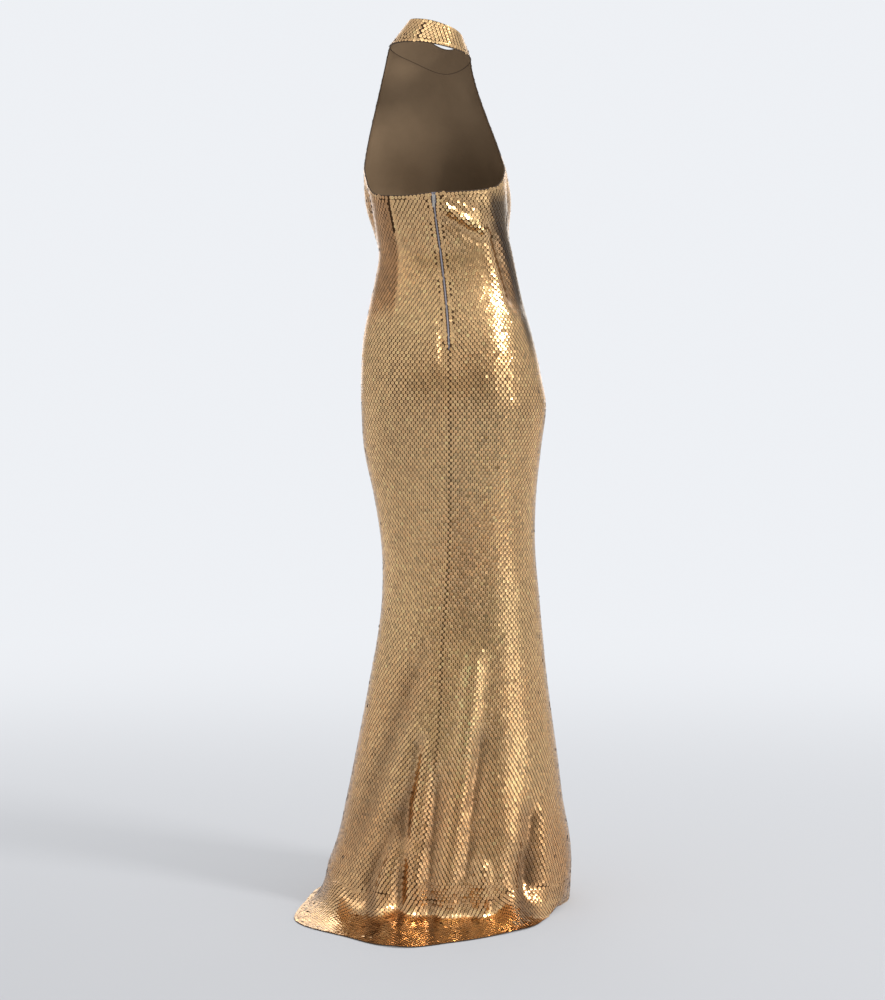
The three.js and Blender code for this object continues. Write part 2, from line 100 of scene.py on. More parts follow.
# Soft fullness: side (1 back, -1 front), x, z, width, height, how far out.
FULLNESS = (
    (-1, 66, -292, 40, 46, 30), (-1, -80, -292, 40, 46, 30), (1, 42, -588, 58, 70, 6),
    (1, -104, -580, 56, 70, 8), (1, -28, -610, 18, 70, -3), (1, -112, -524, 24, 26, 3))

# Folds: side, height and x of the top, height and x of the end, width, how far out.
FOLDS = (
    (1, -290, 6, -356, -106, 9, 8), (1, -312, -4, -372, -92, 12, -4),
    (1, -284, -34, -322, -112, 9, -4), (1, -322, -104, -490, -150, 10, -15),
    (1, -330, -84, -500, -140, 12, 3), (1, -740, -48, -1080, -64, 15, -3),
    (1, -1092, 16, -1466, 150, 14, -6), (1, -1440, -160, -1600, -180, 24, -7),
    (1, -1261, 41, -1448, 95, 12, 3), (1, -1242, 20, -1357, 45, 9, -9),
    (1, -1350, 45, -1530, 62, 9, -9), (1, -1349, 52, -1544, 127, 10, -8),
    (1, -1426, 52, -1558, 109, 12, 7), (1, -1241, 9, -1442, 32, 11, 7),
    (1, -1442, 32, -1560, 37, 11, 9), (1, -1302, -12, -1560, 9, 10, -7),
    (1, -1090, -73, -1312, -53, 14, 8), (1, -1312, -53, -1540, -18, 13, 7),
    (1, -1225, -89, -1399, -71, 12, -8), (1, -1399, -71, -1500, -66, 12, -6),
    (1, -1364, -176, -1530, -159, 11, -8), (1, -1364, -192, -1520, -201, 9, 5),
    (1, -1458, -86, -1560, -82, 9, 11), (1, -1290, -120, -1600, -132, 34, 6),
    (-1, -1040, 20, -1600, 60, 30, 10), (-1, -1100, -110, -1600, -150, 28, 9),
    (-1, -1180, -45, -1600, -50, 24, -10), (-1, -1200, 70, -1600, 140, 24, -8))

# Waves of the train on the floor: x, y, half width, half depth, lift.
FLOOR_WAVES = (
    (-128, 200, 26, 40, 8), (66, 250, 16, 75, 11), (176, 120, 15, 50, 13), (-205, 90, 24, 40, 10))


def between(rows: np.ndarray, column: int, at: np.ndarray, period: float = 0.0) -> np.ndarray:
    """Smooth curve through a table's rows.

    Args:
        rows: The table, its first column the key.
        column: The column to read.
        at: Where to read it.
        period: The key's period, or 0 where the table ends.

    Returns:
        The values there.
    """
    keys, values = rows[:, 0], rows[:, column]
    if keys[-1] < keys[0]:
        keys, values = keys[::-1], values[::-1]
    if period:
        keys = np.concatenate([[keys[-1] - period], keys, keys[:2] + period])
        values = np.concatenate([[values[-1]], values, values[:2]])
    else:
        keys = np.concatenate([keys[:1], keys, keys[-1:]])
        values = np.concatenate([values[:1], values, values[-1:]])
    i = np.clip(np.searchsorted(keys[1:-1], at, side="left") - 1, 0, len(keys) - 4)
    run = keys[i + 2] - keys[i + 1]
    slope_in = (values[i + 2] - values[i]) / (keys[i + 2] - keys[i])
    slope_out = (values[i + 3] - values[i + 1]) / (keys[i + 3] - keys[i + 1])
    t = np.clip((at - keys[i + 1]) / run, 0, 1)
    return ((2 * t**3 - 3 * t**2 + 1) * values[i + 1] + (t**3 - 2 * t**2 + t) * run * slope_in
            + (3 * t**2 - 2 * t**3) * values[i + 2] + (t**3 - t**2) * run * slope_out)


def smoothstep(x: np.ndarray, low: float, high: float) -> np.ndarray:
    """Soft step from 0 at low to 1 at high."""
    t = np.clip((x - low) / (high - low), 0, 1)
    return t * t * (3 - 2 * t)


def bell(distance: np.ndarray, width: float) -> np.ndarray:
    """Bell curve that is 1 in the middle."""
    return np.exp(-0.5 * (distance / width) ** 2)


def lerp(a: Any, b: Any, t: Any) -> Any:
    """Straight mix of a and b."""
    return a + (b - a) * t


def unit(vectors: np.ndarray) -> np.ndarray:
    """Vectors of length 1."""
    return vectors / np.maximum(np.linalg.norm(vectors, axis=-1, keepdims=True), 1e-12)


def path_length(points: np.ndarray) -> np.ndarray:
    """Length of a path from its first point to each of its points."""
    return np.concatenate([[0], np.cumsum(np.linalg.norm(np.diff(points, axis=0), axis=1))])


class Side(Enum):
    """The two halves of the back: column of the dart line, side seam, direction of the columns."""

    LEFT = (2, 0.0, 50.0)
    RIGHT = (3, math.pi, 116.0)

    @property
    def dart(self) -> int:
        """Column of this half's dart in BACK_LINES."""
        return self.value[0]

    @property
    def seam(self) -> float:
        """Angle of this half's side seam."""
        return self.value[1]

    @property
    def dart_hem(self) -> float:
        """Angle of this half's dart line at the hem, in degrees."""
        return self.value[2]


@dataclass(frozen=True)
class Form:
    """The worn shape of the gown as one sheet, in millimetres."""

    squareness: float = 0.03
    underarm: float = -234.0
    foot: float = -1500.0
    floor: float = -1564.0
    wall: float = 1.8
    seam_gap: float = 0.3
    foot_length: float = 220.0
    hem_middle: tuple[float, float] = (-5.0, 0.0)
    seam_hem: float = 81.0
    yoke_length: float = 200.0
    collar_pull: float = 90.0
    armhole_in: float = 10.0
    armhole_forward: float = 46.0
    closure: float = 67.5
    collar_top: tuple[float, float] = (-6.0, -2.0)
    collar_bottom: tuple[float, float] = (3.0, -2.0)
    zip_open: float = 1.75
    slider_open: float = 4.0
    zip_end: float = -548.0
    zip_closed: float = -560.0
    zip_stiff: float = 8.0

    def folds(self, x: np.ndarray, z: np.ndarray, facing: np.ndarray) -> np.ndarray:
        """How far the folds alone move the cloth out, with the same arguments as relief."""
        out = np.zeros(np.broadcast(x, z).shape)
        for side, z_top, x_top, z_end, x_end, wide, far in FOLDS:
            along = (z - z_top) / (z_end - z_top)
            ends = smoothstep(along, -0.12, 0.2) * (1 - smoothstep(along, 0.8, 1.12))
            seen = smoothstep(facing * side, 0, 0.3)
            out += seen * ends * far * bell(x - lerp(x_top, x_end, along), wide)
        return out

    def relief(self, x: np.ndarray, z: np.ndarray, facing: np.ndarray) -> np.ndarray:
        """How far folds and fullness move the cloth out of its plain section.

        Args:
            x: Place across the gown.
            z: Height.
            facing: 1 on the middle of the back, -1 on the middle of the front.

        Returns:
            The distance out.
        """
        out = self.folds(x, z, facing)
        for side, fx, fz, wide, tall, far in FULLNESS:
            out += smoothstep(facing * side, 0, 0.4) * far * bell(x - fx, wide) * bell(z - fz, tall)
        stiff = self.zip_stiff
        beside = smoothstep(np.abs(x - between(BACK_LINES, 1, z)), stiff, 3 * stiff)
        zipped = (facing > 0) * smoothstep(z, self.zip_closed - 60, self.zip_closed)
        return out * lerp(1, beside, zipped)

    def body(self, z: np.ndarray, angle: np.ndarray) -> np.ndarray:
        """Points of the hanging cloth."""
        middle, half, back, front = (between(RINGS, c, z) for c in (1, 2, 3, 4))
        c, s = np.cos(angle), np.sin(angle)
        square = 1 - self.squareness * np.cos(4 * angle)
        deep = (back - front) / 2
        x, y = middle + half * c * square, (back + front) / 2 + deep * s * square
        outwards = unit(np.stack([c / half, s / deep], -1))
        out = self.relief(x, z, s)
        return np.stack([x + out * outwards[..., 0], y + out * outwards[..., 1], z], -1)

    def train(self, t: np.ndarray, angle: np.ndarray) -> np.ndarray:
        """Points from the foot of the hanging cloth, t 0, to the hem on the floor, t 1."""
        start = self.body(np.full_like(t, self.foot), angle)
        degrees = np.degrees(angle) % 360
        reach, curve, begin, power = (between(HEM, c, degrees, 360) for c in (1, 2, 3, 4))
        share = begin * t + (1 - begin) * np.maximum(t, 0) ** power
        x = lerp(start[..., 0], self.hem_middle[0] + reach * np.cos(angle), share)
        y = lerp(start[..., 1], self.hem_middle[1] + reach * np.sin(angle), share)
        waves = sum(lift * bell(x - wx, wide) * bell(y - wy, deep)
                    for wx, wy, wide, deep, lift in FLOOR_WAVES)
        lies = smoothstep(t, 0, 0.25) * (1 - 0.6 * smoothstep(t, 0.75, 1))
        low = self.floor + self.wall / 2
        z = low + (self.foot - low) * np.maximum(1 - t, 0) ** curve + waves * lies
        return np.stack([x, y, z], -1)

    def collar(self, t: np.ndarray, angle: np.ndarray) -> np.ndarray:
        """Points of the collar band, from its lower edge, t 0, to its upper edge, t 1."""
        turned = (self.closure - np.degrees(angle)) % 360
        edges = []
        for middle, height, reach in ((self.collar_bottom, 3, 4), (self.collar_top, 1, 2)):
            far = between(COLLAR, reach, turned, 360)
            edges.append(np.stack([middle[0] + far * np.cos(angle), middle[1] + far * np.sin(angle),
                                   between(COLLAR, height, turned, 360)], -1))
        return lerp(edges[0], edges[1], np.asarray(t)[..., None])

    def yoke(self, t: np.ndarray, angle: np.ndarray) -> np.ndarray:
        """Points from the underarm line, t 0, up to the collar seam, t 1."""
        at = np.full_like(t, self.underarm)
        low = self.body(at, angle)
        rise = (self.body(at + 1, angle) - low) * self.yoke_length
        high = self.collar(np.zeros_like(t), angle)
        lean = unit(self.collar(np.ones_like(t), angle) - high) * self.collar_pull
        u = t[..., None]
        point = (low * (2 * u**3 - 3 * u**2 + 1) + rise * (u**3 - 2 * u**2 + u)
                 + high * (3 * u**2 - 2 * u**3) + lean * (u**3 - u**2))
        edge = np.cos(angle) ** 6 * np.sin(np.pi * t)
        point[..., 0] -= np.sign(np.cos(angle)) * self.armhole_in * edge
        point[..., 1] -= self.armhole_forward * edge
        return point

    def sheet(self, down: np.ndarray, angle: np.ndarray) -> np.ndarray:
        """Points of the whole gown.

        Args:
            down: Height on the body, and a length past it at both ends.
            angle: Angle round the gown, from +X over +Y.

        Returns:
            The points.
        """
        down, angle = np.broadcast_arrays(np.asarray(down, float), np.asarray(angle, float))
        points = np.empty(down.shape + (3,))
        high, low = down > self.underarm, down < self.foot
        hangs = ~(high | low)
        points[hangs] = self.body(down[hangs], angle[hangs])
        if high.any():
            points[high] = self.yoke((down[high] - self.underarm) / self.yoke_length, angle[high])
        if low.any():
            points[low] = self.train((self.foot - down[low]) / self.foot_length, angle[low])
        return points

    def normals(self, down: np.ndarray, angle: np.ndarray) -> np.ndarray:
        """Outward normals of the sheet at the same places."""
        up = self.sheet(down + 0.5, angle) - self.sheet(down - 0.5, angle)
        along = self.sheet(down, angle + 0.002) - self.sheet(down, angle - 0.002)
        return unit(np.cross(along, up))

    def line_angle(self, column: int, down: np.ndarray, hem_deg: float) -> np.ndarray:
        """Angle at which a line of the back crosses each height."""
        z = np.maximum(down, self.foot)
        across = (between(BACK_LINES, column, z) - between(RINGS, 1, z)) / between(RINGS, 2, z)
        share = np.clip((self.foot - down) / self.foot_length, 0, 1)
        return lerp(np.arccos(np.clip(across, -1, 1)), math.radians(hem_deg), share)

    def edge_height(self, angle: np.ndarray) -> np.ndarray:
        """Height of the back's upper edge at an angle."""
        return between(BACK_EDGE, 1, np.degrees(angle))

    def back_opening(self, down: np.ndarray) -> np.ndarray:
        """Half the space between the two back edges."""
        top = float(self.edge_height(np.array(math.pi / 2)))
        wide = lerp(self.zip_open, self.slider_open, smoothstep(down, top - 26, top - 16))
        return lerp(self.seam_gap / 2, wide, smoothstep(down, self.zip_closed, self.zip_end))


FORM = Form()


@dataclass
class Cloth:
    """A grid of points with outward normals on the middle of a piece of cloth, in millimetres."""

    points: np.ndarray
    normals: np.ndarray

    def part(self, rows: slice) -> "Cloth":
        """Some of its rows."""
        return Cloth(self.points[rows], self.normals[rows])

    def down(self) -> np.ndarray:
        """Length of cloth from the first row to each point."""
        steps = np.linalg.norm(np.diff(self.points, axis=0), axis=-1)
        return np.concatenate([np.zeros((1, steps.shape[1])), np.cumsum(steps, 0)], 0)

    def across(self) -> np.ndarray:
        """Length of cloth from the first column to each point."""
        steps = np.linalg.norm(np.diff(self.points, axis=1), axis=-1)
        return np.concatenate([np.zeros((steps.shape[0], 1)), np.cumsum(steps, 1)], 1)

    def flattened(self, grain: int, turns: int = 900) -> np.ndarray:
        """The cloth laid flat, as complex numbers: real across and imaginary down.

        Links between the points of a coarser grid keep the lengths they have on the cloth, and
        the grid is let settle. What the cloth can't do without stretch is so spread evenly.

        Args:
            grain: The column that hangs straight in the result.
            turns: How many steps it is given to settle.

        Returns:
            A place for each point of the grid.
        """
        rows, columns = self.points.shape[:2]
        at_rows = np.linspace(0, rows - 1, rows // 2 + 1)
        at_columns = np.linspace(0, columns - 1, columns // 2 + 1)
        row, column = np.meshgrid(at_rows, at_columns, indexing="ij")
        down, across = self.down()[:, grain], self.across()
        across = across - across[:, grain:grain + 1]

        def ends(grid: np.ndarray, low: int, right: int) -> tuple[np.ndarray, np.ndarray]:
            """Both ends of all links that go so many rows down and columns right."""
            n, m = grid.shape
            return (grid[:n - low, max(-right, 0):m - max(right, 0)],
                    grid[low:, max(right, 0):m + min(right, 0)])

        links = []
        for low, right in ((0, 1), (1, 0), (1, 1), (1, -1)):
            i, j = ends(row, low, right), ends(column, low, right)
            path = [self.at(lerp(i[0], i[1], t).ravel(), lerp(j[0], j[1], t).ravel())[0]
                    for t in np.linspace(0, 1, 4)]
            length = sum(np.linalg.norm(b - a, axis=1) for a, b in zip(path, path[1:]))
            links.append((low, right, length.reshape(i[0].shape)))
        whole = np.round(row).astype(int), np.round(column).astype(int)
        flat = across[whole] + 1j * down[whole[0]]
        last = flat
        for _ in range(turns):
            push = np.zeros_like(flat)
            for low, right, length in links:
                a, b = ends(flat, low, right)
                pull = (b - a) * (0.5 - 0.5 * length / np.abs(b - a))
                at_a, at_b = ends(push, low, right)
                at_a += pull
                at_b -= pull
            flat, last = flat + 0.3 * push + 0.93 * (flat - last), flat
        between_columns = np.stack([np.interp(np.arange(columns), at_columns, line) for line in flat])
        flat = np.stack([np.interp(np.arange(rows), at_rows, line) for line in between_columns.T], 1)
        hangs = flat[int(0.8 * rows), grain] - flat[int(0.25 * rows), grain]
        return flat * 1j * abs(hangs) / hangs

    def area(self) -> float:
        """Area of the sheet in square metres."""
        p = self.points
        one = np.cross(p[1:, :-1] - p[:-1, :-1], p[1:, 1:] - p[:-1, :-1])
        two = np.cross(p[1:, 1:] - p[:-1, :-1], p[:-1, 1:] - p[:-1, :-1])
        return float((np.linalg.norm(one, axis=-1) + np.linalg.norm(two, axis=-1)).sum() / 2) * MM**2

    def at(self, row: np.ndarray, column: np.ndarray) -> tuple[np.ndarray, np.ndarray, np.ndarray]:
        """Points, normals and directions across, at fractional rows and columns."""
        i = np.clip(row.astype(int), 0, self.points.shape[0] - 2)
        j = np.clip(column.astype(int), 0, self.points.shape[1] - 2)
        u, v = (row - i)[:, None], (column - j)[:, None]

        def mix(grid: np.ndarray) -> np.ndarray:
            """Value of a grid at the same places."""
            return lerp(lerp(grid[i, j], grid[i + 1, j], u),
                        lerp(grid[i, j + 1], grid[i + 1, j + 1], u), v)

        return mix(self.points), unit(mix(self.normals)), unit(self.points[i, j + 1] - self.points[i, j])


@dataclass
class Discs:
    """Places of the discs on a piece of cloth."""

    places: list[np.ndarray] = field(default_factory=list)
    normals: list[np.ndarray] = field(default_factory=list)
    along: list[np.ndarray] = field(default_factory=list)

    def add(self, places: np.ndarray, normals: np.ndarray, along: np.ndarray) -> None:
        """Takes in more discs."""
        self.places.append(places)
        self.normals.append(normals)
        self.along.append(along)

    def joined(self) -> "Discs":
        """The same discs in one set."""
        return Discs(*([np.concatenate(x)] for x in (self.places, self.normals, self.along)))

    def take(self, other: "Discs", which: np.ndarray) -> None:
        """Takes in those discs of another set that are marked."""
        self.add(other.places[0][which], other.normals[0][which], other.along[0][which])

    def clear_of(self, places: np.ndarray, far: float) -> np.ndarray:
        """Marks the places that lie this far from every disc of this set."""
        tree = KDTree(len(self.places[0]))
        for i, place in enumerate(self.places[0]):
            tree.insert(place, i)
        tree.balance()
        return np.array([tree.find(place)[2] > far for place in places])


@dataclass(frozen=True)
class DiscRows:
    """How the discs are sewn in rows: pitch along a row, distance between rows, margins."""

    pitch: float = 7.5
    row: float = 5.25
    side_margin: float = 2.2
    edge_inset: float = 3.1
    edge_pitch: float = 6.7
    edge_clear: float = 2.8
    foot_clear: float = 3.0
    zip_inset: float = 3.9
    zip_pitch: float = 5.8

    def lines(self, cloth: Cloth, flat: np.ndarray | None, level: int, grain: int, phase: float,
              odd: int) -> Discs:
        """Rows of discs, straight where the cloth is laid flat, or following its grid.

        Args:
            cloth: The piece.
            flat: The cloth laid flat, or None if the rows follow the grid.
            level: The grid row from which the rows are counted.
            grain: The grid column from which the discs of a row are counted.
            phase: Distance of the first disc from the grain column.
            odd: 1 if the odd rows start at the grain column.

        Returns:
            The discs.
        """
        down = cloth.down()
        deep = down if flat is None else flat.imag
        rows, columns = deep.shape
        seam, seam_deep = (np.concatenate([[x[0] - 400], x, [x[-1] + 400]])
                           for x in (down[:, grain] - down[level, grain], deep[:, grain]))
        levels = np.arange(math.ceil(seam[0] / self.row), math.floor(seam[-1] / self.row) + 1)
        depth = np.interp((levels + (0.5 if flat is None else 0)) * self.row, seam, seam_deep)
        index = np.stack([np.interp(depth, deep[:, j], np.arange(rows)) for j in range(columns)], 1)
        inside = (depth[:, None] > deep[0]) & (depth[:, None] < deep[-1])
        found = Discs()
        for k, deep_here, at_rows, good in zip(levels, depth, index, inside):
            where = np.flatnonzero(good)
            for run in np.split(where, np.flatnonzero(np.diff(where) > 1) + 1):
                if len(run) < 2:
                    continue
                if flat is None:
                    line = cloth.at(at_rows[run], run.astype(float))[0]
                    reach = path_length(line)
                    reach = reach - reach[np.abs(run - grain).argmin()]
                else:
                    i = np.clip(at_rows[run].astype(int), 0, rows - 2)
                    reach = lerp(flat.real[i, run], flat.real[i + 1, run], at_rows[run] - i)
                    reach = reach - np.interp(deep_here, deep[:, grain], flat.real[:, grain])
                shift = 0.5 * ((k + odd) % 2) + phase / self.pitch
                start, end = reach[0] + self.side_margin, reach[-1] - self.side_margin
                steps = np.arange(math.ceil(start / self.pitch - shift),
                                  math.floor(end / self.pitch - shift) + 1) + shift
                if len(steps):
                    column = np.interp(steps * self.pitch, reach, run)
                    found.add(*cloth.at(np.interp(column, run, at_rows[run]), column))
        return found.joined()

    def edges(self, cloth: Cloth, grain: int, top_edge: bool, zip_rows: int) -> Discs:
        """Discs that follow the hem, and the top edge and the zip where wanted."""
        down, across = cloth.down(), cloth.across()
        rows, columns = down.shape
        found = Discs()
        for wanted, sign, row in ((top_edge, 1, 0), (True, -1, rows - 1)):
            if wanted:
                reach = across[row]
                count = round((reach[-1] - reach[0] - 2 * self.side_margin) / self.edge_pitch)
                steps = np.linspace(reach[0] + self.side_margin, reach[-1] - self.side_margin, count)
                column = np.interp(steps, reach, np.arange(columns))
                away = np.abs(down - down[row])[::sign]
                inset = [np.interp(self.edge_inset, away[:, j], np.arange(rows)) for j in column.astype(int)]
                found.add(*cloth.at(row + sign * np.array(inset), column))
        if zip_rows:
            reach = down[:zip_rows, grain]
            row = np.interp(np.arange(self.edge_inset + self.zip_pitch, reach[-1], self.zip_pitch), reach,
                            np.arange(zip_rows))
            order = slice(None, None, -1) if grain else slice(None)
            away = np.abs(across - across[:, grain:grain + 1])[:, order]
            column = [np.interp(self.zip_inset, away[i], np.arange(columns)[order]) for i in row.astype(int)]
            found.add(*cloth.at(row, np.array(column)))
        return found.joined()

    def lay(self, cloth: Cloth, foot: int, level: int, grain: int, phase: float = 0.0, odd: int = 0,
            top_edge: bool = True, zip_rows: int = 0) -> Discs:
        """Lays discs over a piece of cloth.

        Args:
            cloth: The piece.
            foot: The grid row below which the rows follow the grid.
            level: The grid row from which the rows are counted.
            grain: The grid column from which the discs of a row are counted.
            phase: Distance of the first disc from the grain column.
            odd: 1 if the odd rows start at the grain column.
            top_edge: Whether a row follows the first grid row.
            zip_rows: How many grid rows lie beside the zip, where discs follow the grain column.

        Returns:
            The discs.
        """
        edges = self.edges(cloth, grain, top_edge, zip_rows)
        low = self.lines(cloth.part(slice(foot, None)), None, 0, grain, phase, odd)
        found = Discs(*(list(x) for x in (edges.places, edges.normals, edges.along)))
        found.take(low, edges.clear_of(low.places[0], self.edge_clear))
        if foot:
            high = cloth.part(slice(0, foot + 3))
            rows = self.lines(high, high.flattened(grain), level, grain, phase, odd)
            found.take(rows, edges.clear_of(rows.places[0], self.edge_clear)
                       & low.clear_of(rows.places[0], self.foot_clear))
        return found.joined()


def mesh_of(name: str, points: np.ndarray, faces: np.ndarray) -> bpy.types.Object:
    """A new object from points in millimetres and faces that all have as many corners."""
    mesh = bpy.data.meshes.new(name)
    sides = faces.shape[1]
    mesh.vertices.add(len(points))
    mesh.vertices.foreach_set("co", (points * MM).astype(np.float32).ravel())
    mesh.loops.add(faces.size)
    mesh.loops.foreach_set("vertex_index", faces.astype(np.int32).ravel())
    mesh.polygons.add(len(faces))
    mesh.polygons.foreach_set("loop_start", np.arange(0, faces.size, sides, dtype=np.int32))
    mesh.update(calc_edges=True)
    mesh.validate()
    obj = bpy.data.objects.new(name, mesh)
    bpy.context.scene.collection.objects.link(obj)
    return obj


def choose(obj: bpy.types.Object) -> None:
    """Selects one object alone and makes it active."""
    bpy.ops.object.select_all(action="DESELECT")
    obj.select_set(True)
    bpy.context.view_layer.objects.active = obj


def soften(obj: bpy.types.Object, degrees: float = 50.0) -> None:
    """Smooth shading up to an angle between faces."""
    choose(obj)
    bpy.ops.object.shade_smooth_by_angle(angle=math.radians(degrees))


def shell(name: str, cloth: Cloth, outer: float, inner: float,
          materials: tuple[bpy.types.Material, bpy.types.Material]) -> bpy.types.Object:
    """A closed thin wall on a grid, its outside and rim in one material and its inside in another.

    Args:
        name: Name of the piece.
        cloth: The grid.
        outer: Distance of the outside from the grid.
        inner: Distance of the inside from the grid, negative inwards.
        materials: Outside and inside.

    Returns:
        The piece.
    """
    p, n = cloth.points, cloth.normals
    high, wide = p.shape[:2]
    points = np.concatenate([(p + n * outer).reshape(-1, 3), (p + n * inner).reshape(-1, 3)])
    ids = np.arange(high * wide).reshape(high, wide)
    a, b, c, d = (x.ravel() for x in (ids[:-1, :-1], ids[1:, :-1], ids[1:, 1:], ids[:-1, 1:]))
    under = high * wide
    ring = np.concatenate([ids[:, 0], ids[-1, 1:], ids[-2::-1, -1], ids[0, -2:0:-1]])
    after = np.roll(ring, -1)
    faces = np.concatenate([
        np.stack([a, b, c, d], 1), np.stack([d, c, b, a], 1) + under,
        np.stack([after, ring, ring + under, after + under], 1)])
    obj = mesh_of(name, points, faces)
    for material in materials:
        obj.data.materials.append(material)
    slots = np.zeros(len(faces), np.int32)
    slots[len(a):2 * len(a)] = 1
    obj.data.polygons.foreach_set("material_index", slots)
    soften(obj)
    return obj


@dataclass
class Line:
    """A line on the cloth with the cloth's outward normals, in millimetres."""

    points: np.ndarray
    normals: np.ndarray

    def along(self) -> np.ndarray:
        """The way along it at each point."""
        return unit(np.gradient(self.points, axis=0))

    def even(self, step: float) -> "Line":
        """The same line with its points at even steps."""
        reach = path_length(self.points)
        at = np.arange(step / 2, reach[-1], step)
        points, normals = (np.stack([np.interp(at, reach, grid[:, k]) for k in range(3)], 1)
                           for grid in (self.points, self.normals))
        return Line(points, unit(normals))

    def out(self, far: float) -> "Line":
        """The same line moved out of the cloth."""
        return Line(self.points + self.normals * far, self.normals)


def cords(name: str, lines: list[Line], radius: float, material: bpy.types.Material,
          sides: int = 8) -> bpy.types.Object:
    """Round cords along lines, as one mesh with closed ends.

    Args:
        name: Name of the piece.
        lines: The middles of the cords.
        radius: Their radius.
        material: Their finish.
        sides: Number of sides.

    Returns:
        The piece.
    """
    points, faces, start = [], [], 0
    turn = np.arange(sides) * 2 * math.pi / sides
    for line in lines:
        along = line.along()
        across = unit(np.cross(along, line.normals))
        up = np.cross(across, along)
        ring = radius * (np.cos(turn)[:, None] * across[:, None] + np.sin(turn)[:, None] * up[:, None])
        count = len(line.points)
        points += [(line.points[:, None] + ring).reshape(-1, 3), line.points[[0, -1]]]
        i, j = np.meshgrid(np.arange(count - 1), np.arange(sides), indexing="ij")
        a, b = start + i * sides + j, start + i * sides + (j + 1) % sides
        faces += [np.stack([a, b, b + sides], -1).reshape(-1, 3),
                  np.stack([a, b + sides, a + sides], -1).reshape(-1, 3)]
        first, last = start + count * sides, start + (count - 1) * sides
        rim = np.arange(sides)
        faces += [np.stack([start + (rim + 1) % sides, start + rim, np.full(sides, first)], 1),
                  np.stack([last + rim, last + (rim + 1) % sides, np.full(sides, first + 1)], 1)]
        start += count * sides + 2
    obj = mesh_of(name, np.concatenate(points), np.concatenate(faces))
    obj.data.materials.append(material)
    soften(obj)
    return obj


@dataclass(frozen=True)
class Bead:
    """One small rounded bar that is copied along lines: a stitch, or a tooth of the zip's coil."""

    radius: float
    length: float
    across: bool = True
    segments: int = 8
    rings: int = 6

    def template(self) -> tuple[np.ndarray, np.ndarray]:
        """Its corners, in millimetres, and its triangles."""
        bpy.ops.object.select_all(action="DESELECT")
        bpy.ops.mesh.primitive_uv_sphere_add(segments=self.segments, ring_count=self.rings,
                                             radius=self.radius * MM)
        obj = bpy.context.object
        bpy.ops.object.mode_set(mode="EDIT")
        bpy.ops.mesh.select_all(action="SELECT")
        middle = (0, 0, 0)
        bpy.ops.transform.resize(value=(1, 1, self.length / (2 * self.radius)), center_override=middle)
        if self.across:
            bpy.ops.transform.rotate(value=math.pi / 2, orient_axis="Y", center_override=middle)
        bpy.ops.mesh.quads_convert_to_tris()
        bpy.ops.object.mode_set(mode="OBJECT")
        points = np.array([corner.co[:] for corner in obj.data.vertices]) / MM
        faces = np.array([face.vertices[:] for face in obj.data.polygons])
        bpy.data.objects.remove(obj)
        return points, faces

    def along(self, name: str, lines: list[Line], step: float,
              material: bpy.types.Material) -> bpy.types.Object:
        """Copies it along lines at even steps, as one mesh."""
        corners, faces = self.template()
        lines = [line.even(step) for line in lines]
        along = np.concatenate([line.along() for line in lines])
        normal = np.concatenate([line.normals for line in lines])
        across = unit(np.cross(normal, along))
        axes = np.stack([across, np.cross(along, across), along], 1)
        middles = np.concatenate([line.points for line in lines])
        points = middles[:, None] + np.einsum("vk,nkc->nvc", corners, axes)
        faces = faces[None] + (np.arange(len(middles)) * len(corners))[:, None, None]
        obj = mesh_of(name, points.reshape(-1, 3), faces.reshape(-1, 3))
        obj.data.materials.append(material)
        soften(obj, 80.0)
        return obj


